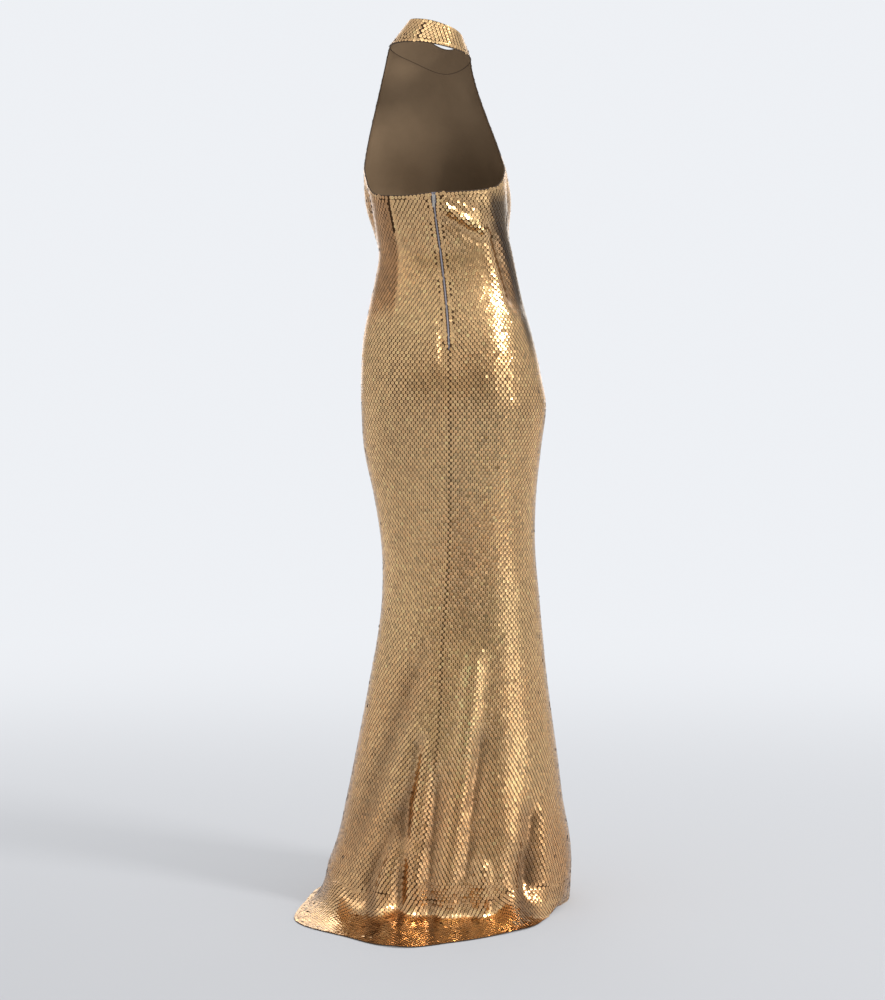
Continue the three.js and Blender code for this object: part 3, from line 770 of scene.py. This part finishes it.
@dataclass
class Sequins:
    """The cupped discs that cover a piece of cloth, as one mesh."""

    radius: float = 3.4
    sides: int = 8
    cup: float = 0.3
    lift: float = 0.95
    tilt_deg: float = 1.7
    loose_share: float = 0.04
    loose_deg: float = 6.0
    # How strongly the folds paint shade into the troughs and light onto the ridges: painted shade and painted
    # light.
    painted_trough_shade: float = 17.0
    painted_ridge_light: float = 34.0

    def build(self, name: str, discs: Discs, material: bpy.types.Material,
              seed: int) -> bpy.types.Object:
        """Makes the discs.

        Args:
            name: Name of the piece.
            discs: Their places.
            material: Their finish.
            seed: Seed of their small unevenness.

        Returns:
            The piece.
        """
        rng = np.random.default_rng(seed)
        place, normal, along = discs.places[0], discs.normals[0], discs.along[0]
        count = len(place)
        tilt = np.where(rng.random(count) < self.loose_share, self.loose_deg, self.tilt_deg)
        normal = unit(normal + rng.normal(size=(count, 3)) * np.radians(tilt)[:, None])
        across = unit(along - (along * normal).sum(1, keepdims=True) * normal)
        up = np.cross(normal, across)
        turn = rng.uniform(0, 2 * math.pi, count)[:, None] + np.arange(self.sides) * 2 * math.pi / self.sides
        radius = self.radius * rng.uniform(0.96, 1.0, (count, 1, 1))
        rim = (place[:, None] + normal[:, None] * (self.lift + self.cup)
               + radius * (np.cos(turn)[..., None] * across[:, None] + np.sin(turn)[..., None] * up[:, None]))
        middle = place + normal * self.lift
        points = np.concatenate([middle[:, None], rim], 1).reshape(-1, 3)
        base = np.arange(count)[:, None] * (self.sides + 1)
        i = np.arange(self.sides)
        faces = np.stack([np.broadcast_to(base, (count, self.sides)), base + 1 + i,
                          base + 1 + (i + 1) % self.sides], -1).reshape(-1, 3)
        obj = mesh_of(name, points, faces)
        self.mark(obj, place, rng, count, faces)
        obj.data.materials.append(material)
        obj.data.polygons.foreach_set("use_smooth", np.ones(len(faces), bool))
        return obj

    def mark(self, obj: bpy.types.Object, place: np.ndarray, rng: np.random.Generator, count: int,
             faces: np.ndarray) -> None:
        """Writes each disc's tint and its tone, which carry painted shade and painted light as well as random
        variation, the way out from its middle, and its place on the map.
        """
        drift = (np.sin(place[:, 0] / 37 + place[:, 2] / 61) + np.sin(place[:, 2] / 43 - place[:, 1] / 29))
        down = -place[:, 2]
        floor = smoothstep(down, 1530, 1556)
        copper = smoothstep(down, 1150, 1500) * (1 - 0.8 * floor)
        height = np.maximum(place[:, 2], FORM.foot)
        back, front = (between(RINGS, column, height) for column in (3, 4))
        # Fold depth at each disc, for painted shade in the troughs, which are also made a little more copper,
        # and painted light on the ridges.
        crease = FORM.folds(place[:, 0], height, (2 * place[:, 1] - back - front) / (back - front))
        tint = np.clip(0.44 + 0.06 * drift + rng.normal(0, 0.07, count) + 0.3 * copper
                       - 0.02 * np.minimum(crease, 0), 0, 1)
        tone = np.clip(rng.normal(1, 0.1, count), 0.7, 1.3)
        # Painted shade in the fold troughs and painted light on the ridges.
        deep = np.where(crease < 0, self.painted_trough_shade, self.painted_ridge_light)
        tone *= np.clip(1 + crease / deep, 0.45, 1.15)
        tone *= 1 - 0.14 * copper
        # Painted shade and painted dark reflections beside the side hollows: these discs are made dimmer and
        # redder.
        for column, sign, low, painted_redder, painted_dimming in PAINTED_SHADE_SHARES:
            line = between(PAINTED_SHADE_LINES, column, place[:, 2])
            beside = (smoothstep(sign * (place[:, 0] - line), -3, 8) * smoothstep(down, 262, 300)
                      * (1 - smoothstep(down, low, low + 80)) * smoothstep(place[:, 1], -75, -15))
            tint = np.clip(tint + painted_redder * beside, 0, 1)
            tone *= 1 - painted_dimming * beside
        each = self.sides + 1
        for name, values in (("tint", np.repeat(tint, each)), ("tone", np.repeat(tone, each)),
                             ("reach", np.tile(np.r_[0.0, np.ones(self.sides)], count))):
            layer = obj.data.attributes.new(name, "FLOAT", "POINT")
            layer.data.foreach_set("value", values.astype(np.float32))
        cells = math.ceil(math.sqrt(count))
        corner = np.stack([np.arange(count) % cells, np.arange(count) // cells], -1) + 0.5
        way = np.arange(self.sides) * 2 * math.pi / self.sides
        ring = np.concatenate([np.zeros((1, 2)), 0.42 * np.stack([np.cos(way), np.sin(way)], -1)])
        spots = ((corner[:, None] + ring) / cells).reshape(-1, 2)
        layer = obj.data.uv_layers.new(name="OFBake")
        layer.data.foreach_set("uv", spots[faces.ravel()].astype(np.float32).ravel())


class Socket:
    """A socket of a node tree. Expressions on it add Math nodes."""

    def __init__(self, graph: "Graph", socket: bpy.types.NodeSocket) -> None:
        """Wraps a socket."""
        self.graph, self.socket = graph, socket

    def math(self, operation: str, *values: Any) -> "Socket":
        """A Math node on these values."""
        return self.graph.node("ShaderNodeMath", {"operation": operation}, dict(enumerate(values)))

    def __add__(self, other: Any) -> "Socket":
        """Sum."""
        return self.math("ADD", self, other)

    def __radd__(self, other: Any) -> "Socket":
        """Sum."""
        return self.math("ADD", other, self)

    def __sub__(self, other: Any) -> "Socket":
        """Difference."""
        return self.math("SUBTRACT", self, other)

    def __rsub__(self, other: Any) -> "Socket":
        """Difference."""
        return self.math("SUBTRACT", other, self)

    def __mul__(self, other: Any) -> "Socket":
        """Product."""
        return self.math("MULTIPLY", self, other)

    def __rmul__(self, other: Any) -> "Socket":
        """Product."""
        return self.math("MULTIPLY", other, self)

    def step(self, low: float, high: float) -> "Socket":
        """Soft step from 0 at low to 1 at high."""
        return self.graph.node("ShaderNodeMapRange", {"interpolation_type": "SMOOTHSTEP"},
                               {"Value": self, "From Min": low, "From Max": high})


class Graph:
    """A material's nodes."""

    def __init__(self, name: str) -> None:
        """Makes an empty material."""
        self.material = bpy.data.materials.new(name)
        self.material.use_nodes = True
        self.tree = self.material.node_tree
        self.tree.nodes.clear()

    def node(self, kind: str, settings: dict[str, Any] | None = None,
             values: dict[Any, Any] | None = None, output: Any = 0) -> Socket:
        """Adds a node.

        Args:
            kind: The node's type.
            settings: Its settings; stops are a ramp's places and colours.
            values: Values or links of its sockets, by name or number.
            output: The output that is wanted.

        Returns:
            That output.
        """
        made = self.tree.nodes.new(kind)
        for key, value in (settings or {}).items():
            if key == "stops":
                ramp = made.color_ramp.elements
                for _ in range(len(value) - len(ramp)):
                    ramp.new(0.5)
                for element, (place, colour) in zip(ramp, value):
                    element.position, element.color = place, (*colour, 1)
            else:
                setattr(made, key, value)
        for key, value in (values or {}).items():
            if isinstance(value, Socket):
                self.tree.links.new(value.socket, made.inputs[key])
            elif value is not None:
                made.inputs[key].default_value = value
        return Socket(self, made.outputs[output])

    def ramp(self, value: Socket, stops: tuple[tuple[float, tuple[float, float, float]], ...]) -> Socket:
        """Colours by a value."""
        return self.node("ShaderNodeValToRGB", {"stops": stops}, {"Fac": value})

    def mix(self, share: Any, one: Any, two: Any) -> Socket:
        """Mix of two colours."""
        return self.node("ShaderNodeMix", {"data_type": "RGBA"}, {0: share, 6: one, 7: two}, 2)

    def shaded(self, colour: Any, value: Socket) -> Socket:
        """A colour multiplied by a value."""
        grey = self.node("ShaderNodeCombineColor", None, {0: value, 1: value, 2: value})
        return self.node("ShaderNodeMix", {"data_type": "RGBA", "blend_type": "MULTIPLY"},
                         {0: 1.0, 6: colour, 7: grey}, 2)

    def places(self) -> Socket:
        """Object coordinates."""
        return self.node("ShaderNodeTexCoord", output="Object")

    def place(self, axis: str) -> Socket:
        """One of the Object coordinates."""
        return self.node("ShaderNodeSeparateXYZ", None, {0: self.places()}, axis)

    def attribute(self, name: str) -> Socket:
        """A value that the mesh carries."""
        return self.node("ShaderNodeAttribute", {"attribute_name": name}, output="Fac")

    def noise(self, scale: float, detail: float = 2.0) -> Socket:
        """Noise on Object coordinates."""
        return self.node("ShaderNodeTexNoise", None,
                         {"Vector": self.places(), "Scale": scale, "Detail": detail})

    def crossed(self, per_m: float, values: dict[str, float]) -> Socket:
        """Waves across and down multiplied, as loops or threads of a cloth."""
        across, down = (self.node("ShaderNodeTexWave", {"bands_direction": way},
                                  {"Vector": self.places(), "Scale": per_m / 6.28, **values}, "Fac")
                        for way in "XZ")
        return across * down

    def bump(self, height: Socket, strength: float, distance: float) -> Socket:
        """Normal from a height."""
        return self.node("ShaderNodeBump", None,
                         {"Height": height, "Strength": strength, "Distance": distance})

    def finish(self, **values: Any) -> bpy.types.Material:
        """Ends the material in a Principled shader with these values."""
        names = {key.replace("_", " "): value for key, value in values.items()}
        self.end(self.node("ShaderNodeBsdfPrincipled", None, names))
        return self.material

    def end(self, shader: Socket) -> None:
        """Connects a shader to the material's output."""
        made = self.tree.nodes.new("ShaderNodeOutputMaterial")
        self.tree.links.new(shader.socket, made.inputs["Surface"])


Colour = tuple[float, float, float]


def opaque(colour: Colour) -> tuple[float, float, float, float]:
    """A colour with full alpha."""
    return (*colour, 1.0)


@dataclass(frozen=True)
class SequinFinish:
    """Gold foil discs: olive, gold and copper ones, each with a small dark hole, and painted shade round the
    hole and at the rim.
    """

    olive: Colour = (0.75, 0.52, 0.23)
    gold: Colour = (0.94, 0.58, 0.26)
    copper: Colour = (0.92, 0.46, 0.17)
    hole: Colour = (0.05, 0.03, 0.018)
    glancing: Colour = (0.78, 0.62, 0.44)
    roughness: float = 0.23

    def make(self, name: str) -> bpy.types.Material:
        """The material."""
        g = Graph(name)
        gold = g.ramp(g.attribute("tint"), ((0.0, self.olive), (0.45, self.gold), (1.0, self.copper)))
        reach = g.attribute("reach")
        # Painted shade: the ring round the hole and the rim of each disc are darker.
        wear_and_shade = 0.82 + 0.18 * reach.step(0.2, 0.42)
        edge = 1.0 - 0.5 * reach.step(0.84, 0.98)
        # The disc's tone holds random variation and the painted shade and light of the folds and sides.
        shade = g.shaded(gold, g.attribute("tone") * wear_and_shade * edge)
        colour = g.mix(reach.step(0.15, 0.22), opaque(self.hole), shade)
        return g.finish(Base_Color=colour, Metallic=1.0, Roughness=self.roughness,
                        Specular_Tint=opaque(self.glancing), Coat_Weight=0.8, Coat_Roughness=0.14,
                        Coat_IOR=1.6)


@dataclass(frozen=True)
class KnitFinish:
    """Fine knitted ground cloth."""

    thread: Colour = (0.13, 0.065, 0.024)
    deep: Colour = (0.04, 0.018, 0.007)
    stitch_per_m: float = 1400.0
    roughness: float = 0.8

    def make(self, name: str) -> bpy.types.Material:
        """The material."""
        g = Graph(name)
        loops = g.crossed(self.stitch_per_m, {"Distortion": 1.5, "Detail": 1.0, "Detail Scale": 2.0})
        uneven = g.noise(30.0, 3.0)
        share = 0.35 + 0.65 * loops * uneven.step(0.25, 0.7)
        colour = g.mix(share, opaque(self.deep), opaque(self.thread))
        return g.finish(Base_Color=colour, Roughness=self.roughness, Specular_IOR_Level=0.1,
                        Normal=g.bump(loops, 0.5, 0.0003))


@dataclass(frozen=True)
class WovenFinish:
    """Plain woven tape or binding."""

    light: Colour
    dark: Colour
    threads_per_m: float = 2200.0
    roughness: float = 0.7

    def make(self, name: str) -> bpy.types.Material:
        """The material."""
        g = Graph(name)
        cloth = g.crossed(self.threads_per_m, {})
        share = 0.3 + 0.7 * cloth * g.noise(60.0).step(0.2, 0.7)
        colour = g.mix(share, opaque(self.dark), opaque(self.light))
        return g.finish(Base_Color=colour, Roughness=self.roughness, Normal=g.bump(cloth, 0.4, 0.0002))


@dataclass(frozen=True)
class PlatedFinish:
    """Satin plated metal with fine scuffs."""

    plate: Colour = (0.74, 0.71, 0.67)
    wear_and_shade: Colour = (0.50, 0.46, 0.41)
    roughness: float = 0.26

    def make(self, name: str) -> bpy.types.Material:
        """The material."""
        g = Graph(name)
        scuff = g.noise(900.0, 4.0).step(0.45, 0.75)
        colour = g.mix(scuff * 0.7, opaque(self.plate), opaque(self.wear_and_shade))
        return g.finish(Base_Color=colour, Metallic=1.0, Roughness=self.roughness + 0.18 * scuff,
                        Normal=g.bump(scuff, 0.15, 0.0001))


@dataclass
class Finishes:
    """All finishes of the gown."""

    sequin: bpy.types.Material
    ground: bpy.types.Material
    inside: bpy.types.Material
    binding: bpy.types.Material
    tape: bpy.types.Material
    coil: bpy.types.Material
    metal: bpy.types.Material
    thread: bpy.types.Material

    @staticmethod
    def make() -> "Finishes":
        """Makes every material once."""
        return Finishes(
            sequin=SequinFinish().make("gold_sequin"),
            ground=KnitFinish().make("ground_knit"),
            inside=KnitFinish(thread=(0.33, 0.23, 0.14), deep=(0.20, 0.135, 0.08)).make("inside_knit"),
            binding=WovenFinish((0.11, 0.066, 0.035), (0.045, 0.027, 0.015)).make("edge_binding"),
            tape=WovenFinish((0.52, 0.50, 0.58), (0.25, 0.24, 0.29)).make("zip_tape_weave"),
            coil=PlatedFinish((0.66, 0.64, 0.70), (0.42, 0.40, 0.46), 0.35).make("zip_coil_finish"),
            metal=PlatedFinish().make("zip_metal_plate"),
            thread=WovenFinish((0.20, 0.12, 0.06), (0.09, 0.05, 0.03)).make("sewing_thread"))


class Camera:
    """The camera at the photograph's place."""

    def build(self) -> None:
        """Makes the camera."""
        data = bpy.data.cameras.new("camera")
        data.lens, data.sensor_width = 100.0, 36.0
        data.clip_end = 100.0
        obj = bpy.data.objects.new("camera", data)
        obj.location = (-0.0169, 5.0, -0.362)
        obj.rotation_euler = (math.radians(90 - 5.347), 0.0, math.pi)
        bpy.context.scene.collection.objects.link(obj)
        bpy.context.scene.camera = obj


@dataclass
class Studio:
    """Pale floor and backdrop, with soft lights."""

    radius: float = 9.0
    height: float = 9.0
    floor_z: float = -1.5642
    wall_colour: Colour = (0.855, 0.875, 0.91)
    # Colour of the painted shade on the floor nearest the camera.
    painted_floor_shade: Colour = (0.58, 0.59, 0.62)
    world: float = 0.7

    def build(self) -> None:
        """Makes the stage and the lights."""
        self.floor()
        self.wall()
        self.flags()
        self.lights()
        bpy.context.scene.view_settings.view_transform = "Standard"

    def floor(self) -> None:
        """The floor: it glows, darker towards the camera as painted shade, and fades into the backdrop's
        colour further out.
        """
        bpy.ops.object.select_all(action="DESELECT")
        bpy.ops.mesh.primitive_circle_add(vertices=96, radius=self.radius, fill_type="NGON",
                                          location=(0, 0, self.floor_z))
        obj = bpy.context.object
        obj.name = obj.data.name = "studio_floor"
        g = Graph("studio_floor")
        away = g.node("ShaderNodeVectorMath", {"operation": "LENGTH"}, {0: g.places()}, "Value")
        diffuse = g.node("ShaderNodeBsdfDiffuse", None, {"Color": opaque((0.60, 0.61, 0.63))})
        # Painted shade: the floor's glow darkens towards the camera.
        share = (g.place("Y") * -1.0).step(-1.6, 2.5)
        colour = g.mix(share, opaque(self.painted_floor_shade), opaque(self.wall_colour))
        glow = g.node("ShaderNodeEmission", None, {"Color": colour, "Strength": 1.0})
        share = 0.35 + 0.65 * away.step(0.6, 3.6)
        g.end(g.node("ShaderNodeMixShader", None, {0: share, 1: diffuse, 2: glow}))
        obj.data.materials.append(g.material)

    def wall(self) -> None:
        """The backdrop: only the camera sees it."""
        bpy.ops.object.select_all(action="DESELECT")
        bpy.ops.mesh.primitive_cylinder_add(vertices=96, radius=self.radius, depth=self.height,
                                            end_fill_type="NOTHING",
                                            location=(0, 0, self.floor_z + self.height / 2))
        obj = bpy.context.object
        obj.name = obj.data.name = "studio_backdrop"
        g = Graph("studio_backdrop")
        g.end(g.node("ShaderNodeEmission", None, {"Color": opaque(self.wall_colour), "Strength": 1.0}))
        obj.data.materials.append(g.material)
        obj.visible_diffuse = obj.visible_glossy = obj.visible_transmission = False
        obj.visible_shadow = False

    def flags(self) -> None:
        """Dim backdrops on the camera's side that only the discs mirror. The second fades upwards."""
        for name, colour, place, size, fade in (
                ("flag_back", (0.36, 0.35, 0.34), (-1.7, 4.3, 0.2), (1.5, 0.05, 4.0), (-2.4, -2.1)),
                ("flag_behind", (0.44, 0.43, 0.41), (0.9, 5.8, 0.9), (5.0, 0.05, 4.0), (2.0, -1.3))):
            bpy.ops.object.select_all(action="DESELECT")
            bpy.ops.mesh.primitive_cube_add(size=1.0, location=place)
            obj = bpy.context.object
            obj.name = obj.data.name = name
            obj.scale = size
            bpy.ops.object.transform_apply(location=False, rotation=False, scale=True)
            obj.visible_camera = obj.visible_shadow = False
            g = Graph(name)
            height = g.place("Z")
            way = 1.0 if fade[1] > fade[0] else -1.0
            glow = g.node("ShaderNodeEmission", None, {"Color": opaque(colour), "Strength": 1.0})
            g.end(g.node("ShaderNodeMixShader", None, {
                0: (height * way).step(fade[0] * way, fade[1] * way),
                1: g.node("ShaderNodeBsdfTransparent"), 2: glow}))
            obj.data.materials.append(g.material)

    def lights(self) -> None:
        """Even light from all round, and the softboxes."""
        world = bpy.data.worlds.new("studio")
        world.use_nodes = True
        world.node_tree.nodes["Background"].inputs["Color"].default_value = (0.97, 0.98, 1.0, 1)
        world.node_tree.nodes["Background"].inputs["Strength"].default_value = self.world
        bpy.context.scene.world = world
        for name, place, aim, size, power in (
                ("key_softbox", (-2.3, 1.5, 1.45), (-0.1, 0.05, -0.5), (0.62, 0.62), 58.0),
                ("side_softbox", (-2.6, 2.2, -0.3), (0.0, 0.0, -0.9), (1.0, 2.2), 6.5),
                ("top_softbox", (0.0, 0.6, 2.6), (0.0, 0.0, -0.8), (2.6, 2.0), 16.0),
                ("glint_softbox", (0.4, -3.3, 1.5), (0.0, 0.1, -1.5), (1.3, 0.5), 8.0),
                ("back_softbox", (0.0, -3.9, 0.3), (0.0, 0.0, -1.2), (5.0, 2.6), 46.0)):
            data = bpy.data.lights.new(name, "AREA")
            data.shape, data.size, data.size_y = "RECTANGLE", size[0], size[1]
            data.energy = power
            obj = bpy.data.objects.new(name, data)
            obj.location = place
            obj.visible_camera = False
            obj.rotation_euler = (Vector(aim) - Vector(place)).to_track_quat("-Z", "Y").to_euler()
            bpy.context.scene.collection.objects.link(obj)


@dataclass
class Panel:
    node: str
    finishes: Finishes
    outer: float = 0.45
    inner: float = -0.75
    binding: float = 1.0
    hem_tape: float = 0.85
    seed: int = SEED

    def dress(self, cloth: Cloth, discs: Discs, flat: tuple[float, float], held: str,
              rests_on: tuple[str, ...], bound: list[Line], hemmed: list[Line]) -> None:
        cover = shell(f"{self.node}_cloth", cloth, self.outer, self.inner,
                      (self.finishes.ground, self.finishes.inside))
        sequins = Sequins().build(f"{self.node}_sequins", discs, self.finishes.sequin, self.seed)
        sewn = [sequins, cords(f"{self.node}_binding", bound, self.binding, self.finishes.binding)]
        if hemmed:
            sewn.append(cords(f"{self.node}_hem_tape", hemmed, self.hem_tape, self.finishes.binding))
        for obj in [cover, *sewn]:
            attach(obj, "gown")
        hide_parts(self.node)
        area = cloth.area()
        log.info("%s: %.3f square metres, %d discs", self.node, area, len(discs.places[0]))


@dataclass
class BackPanel(Panel):
    """One half of the back, from its side seam to the centre-back seam, with its waist dart."""

    side: Side = Side.LEFT
    side_columns: int = 34
    centre_columns: int = 44
    top_rows: int = 6
    body_rows: int = 172
    foot_rows: int = 48
    break_rows: int = 6
    even: float = -300.0
    dart_end: float = -508.0
    dart_deep: float = 1.6
    dart_shows: float = -348.0
    dart_clear: float = 4.0

    def grid(self) -> tuple[Cloth, np.ndarray]:
        """The cloth, and the line of the dart."""
        angles, downs, darts = [], [], []
        levels = np.concatenate([
            np.linspace(self.even, FORM.foot, self.body_rows + 1)[1:],
            FORM.foot - np.linspace(0, FORM.foot_length, self.foot_rows + 1)[1:]])
        middle_top = float(FORM.edge_height(np.array(math.pi / 2)))
        rows = [(t, None) for t in np.linspace(0, 1, self.top_rows + 1)] + [(1.0, x) for x in levels]
        for share, level in rows:
            middle = lerp(middle_top, self.even, share) if level is None else level
            seam = float(FORM.line_angle(1, np.array(middle), FORM.seam_hem))
            fold = float(FORM.line_angle(self.side.dart, np.array(middle), self.side.dart_hem))
            probe = FORM.sheet(np.array([middle, middle]), np.array([seam - 0.01, seam + 0.01]))
            per_angle = np.linalg.norm(probe[1] - probe[0]) / 0.02
            opening = float(FORM.back_opening(np.array(middle))) / per_angle
            towards = 1 if self.side.seam > seam else -1
            side = self.side.seam - towards * FORM.seam_gap / 2 / per_angle
            row = np.concatenate([np.linspace(side, fold, self.side_columns + 1),
                                  np.linspace(fold, seam + towards * opening, self.centre_columns + 1)[1:]])
            down = (lerp(FORM.edge_height(row), self.even, share) if level is None
                    else np.full_like(row, level))
            angles.append(row)
            downs.append(down)
            darts.append(fold)
        angles, downs = np.array(angles), np.array(downs)
        points, normals = FORM.sheet(downs, angles), FORM.normals(downs, angles)
        dart = points[:, self.side_columns].copy()
        dart_down = downs[:, self.side_columns]
        sewn = self.dart_deep * smoothstep(dart_down, self.dart_end - 14, self.dart_end + 40)
        away = np.linalg.norm(points - dart[:, None], axis=-1)
        points -= normals * (sewn[:, None] * bell(away, 3.2))[..., None]
        dart = dart[dart_down > self.dart_end]
        if self.side is Side.RIGHT:
            points, normals = points[:, ::-1], normals[:, ::-1]
        return Cloth(points, normals), dart

    def clear_dart(self, discs: Discs, dart: np.ndarray) -> None:
        """Moves discs off the dart's line, as far down as it shows."""
        places, along = discs.places[0], discs.along[0]
        off = places[:, 0] - np.interp(-places[:, 2], -dart[:, 2], dart[:, 0])
        near = (places[:, 2] > self.dart_shows) & (np.abs(off) < self.dart_clear)
        shift = np.where(off < 0, -1, 1) * self.dart_clear - off
        places[near] += along[near] * (shift / along[:, 0])[near, None] + discs.normals[0][near] * 0.25

    def build(self) -> None:
        """Makes the panel."""
        cloth, dart = self.grid()
        level = self.top_rows + 40
        left = self.side is Side.LEFT
        grain = cloth.points.shape[1] - 1 if left else 0
        beside_zip = int((cloth.points[:, grain, 2] > FORM.zip_end).sum())
        foot = self.top_rows + self.body_rows + self.break_rows
        discs = DiscRows().lay(cloth, foot, level, grain, -2.4 if left else 2.4, 0 if left else 1,
                               zip_rows=beside_zip)
        if left:
            self.clear_dart(discs, dart)
        self.dress(cloth, discs, (0.45, 1.50) if left else (0.50, 1.51), "hung", ("front", "collar"),
                   [Line(cloth.points[0], cloth.normals[0]).out(-0.15)],
                   [Line(cloth.points[-1], cloth.normals[-1])])


@dataclass
class FrontPanel(Panel):
    """The front, from the collar seam to the hem."""

    columns: int = 116
    yoke_rows: int = 28
    body_rows: int = 181
    foot_rows: int = 30

    def build(self) -> None:
        """Makes the panel."""
        levels = np.concatenate([
            FORM.underarm + FORM.yoke_length * np.linspace(1, 0, self.yoke_rows + 1)[:-1],
            np.linspace(FORM.underarm, FORM.foot, self.body_rows + 1),
            FORM.foot - np.linspace(0, FORM.foot_length, self.foot_rows + 1)[1:]])
        trim = FORM.seam_gap / 2 / 130.0
        angles = np.linspace(math.pi + trim, 2 * math.pi - trim, self.columns + 1)
        downs, angles = np.meshgrid(levels, angles, indexing="ij")
        cloth = Cloth(FORM.sheet(downs, angles), FORM.normals(downs, angles))
        cloth.points[0] -= unit(cloth.points[0] - cloth.points[1]) * 0.5
        discs = DiscRows().lay(cloth, self.yoke_rows + self.body_rows, self.yoke_rows + 30,
                               self.columns // 2, top_edge=False)
        yoke = slice(1, self.yoke_rows + 1)
        self.dress(cloth, discs, (0.74, 1.62), "hung", ("collar",),
                   [Line(cloth.points[yoke, j], cloth.normals[yoke, j]).out(-0.15) for j in (0, -1)],
                   [Line(cloth.points[-1], cloth.normals[-1])])


@dataclass
class CollarBand(Panel):
    """The stand collar, closed at the back."""

    columns: int = 120
    rows: int = 12

    def build(self) -> None:
        """Makes the band."""
        start = math.radians(FORM.closure)
        gap = FORM.seam_gap / 2
        round_it = np.linspace(start + gap / 55, start + 2 * math.pi - gap / 55, self.columns + 1)
        shares, angles = np.meshgrid(np.linspace(1, 0, self.rows + 1), round_it, indexing="ij")
        up = FORM.collar(np.ones_like(angles), angles) - FORM.collar(np.zeros_like(angles), angles)
        turn = (FORM.collar(np.full_like(angles, 0.5), angles + 0.01)
                - FORM.collar(np.full_like(angles, 0.5), angles - 0.01))
        points = FORM.collar(shares, angles) + unit(up) * gap
        cloth = Cloth(points, unit(np.cross(turn, up)))
        discs = DiscRows().lay(cloth, 0, 0, 0, 3.0)
        self.dress(cloth, discs, (0.45, 0.045), "stretched", ("front",),
                   [Line(cloth.points[i], cloth.normals[i]).out(-0.15) for i in (0, -1)]
                   + [Line(cloth.points[:, j], cloth.normals[:, j]).out(-0.1) for j in (0, -1)], [])


@dataclass
class Sewing:
    """The zip's coil, and the stitches of seams and darts."""

    finishes: Finishes
    coil_top: float = -291.5
    coil_end: float = -541.5
    dart_end: float = -505.0

    def line(self, downs: np.ndarray, angles: np.ndarray) -> Line:
        """A line down the gown."""
        return Line(FORM.sheet(downs, angles), FORM.normals(downs, angles))

    def build(self) -> None:
        """Makes them."""
        down = np.arange(self.coil_end, self.coil_top, 4.0)[::-1]
        middle = self.line(down, FORM.line_angle(1, down, FORM.seam_hem)).out(-0.6)
        coil = Bead(0.6, 3.4).along("zip_coil", [middle], 1.15, self.finishes.coil)
        down = np.arange(FORM.foot - FORM.foot_length + 4, FORM.zip_closed, 6.0)[::-1]
        seams = [self.line(down, FORM.line_angle(1, down, FORM.seam_hem))]
        down = np.arange(FORM.foot - FORM.foot_length + 4, FORM.underarm - 4, 6.0)[::-1]
        seams += [self.line(down, np.full_like(down, side.seam)) for side in Side]
        turn = np.radians(np.linspace(182, 358, 120))
        low = FORM.collar(np.zeros_like(turn), turn)
        seams.append(Line(low, unit(np.stack([np.cos(turn), np.sin(turn), 0 * turn], 1))).out(0.2))
        darts = []
        for side in Side:
            top = float(FORM.edge_height(np.array(math.radians(90 - 40 * np.sign(90 - side.dart_hem)))))
            down = np.arange(self.dart_end, top - 8, 5.0)[::-1]
            darts.append(self.line(down, FORM.line_angle(side.dart, down, side.dart_hem)).out(-0.9))
        stitches = [Bead(0.22, 2.4).along("seam_stitches", seams, 3.0, self.finishes.thread),
                    Bead(0.22, 2.4, False).along("dart_stitches", darts, 3.2, self.finishes.thread)]
        for obj in (coil, *stitches):
            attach(obj, "gown")


def main() -> None:
    """Builds the camera, the stage and the gown."""
    logging.basicConfig(level=logging.INFO, format="%(message)s")
    Camera().build()
    Studio().build()
    finishes = Finishes.make()
    BackPanel("back_left", finishes, side=Side.LEFT, seed=SEED).build()
    BackPanel("back_right", finishes, side=Side.RIGHT, seed=SEED + 1).build()
    FrontPanel("front", finishes, seed=SEED + 2).build()
    CollarBand("collar", finishes, outer=0.7, inner=-1.0, seed=SEED + 3).build()
    Sewing(finishes).build()
    for node, material in (("zip_tape_left", finishes.tape), ("zip_tape_right", finishes.tape),
                           ("zip_slider", finishes.metal), ("zip_pull", finishes.metal),
                           ("zip_stop", finishes.metal)):
        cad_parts[node].data.materials.clear()
        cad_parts[node].data.materials.append(material)


if __name__ == "__main__":
    main()
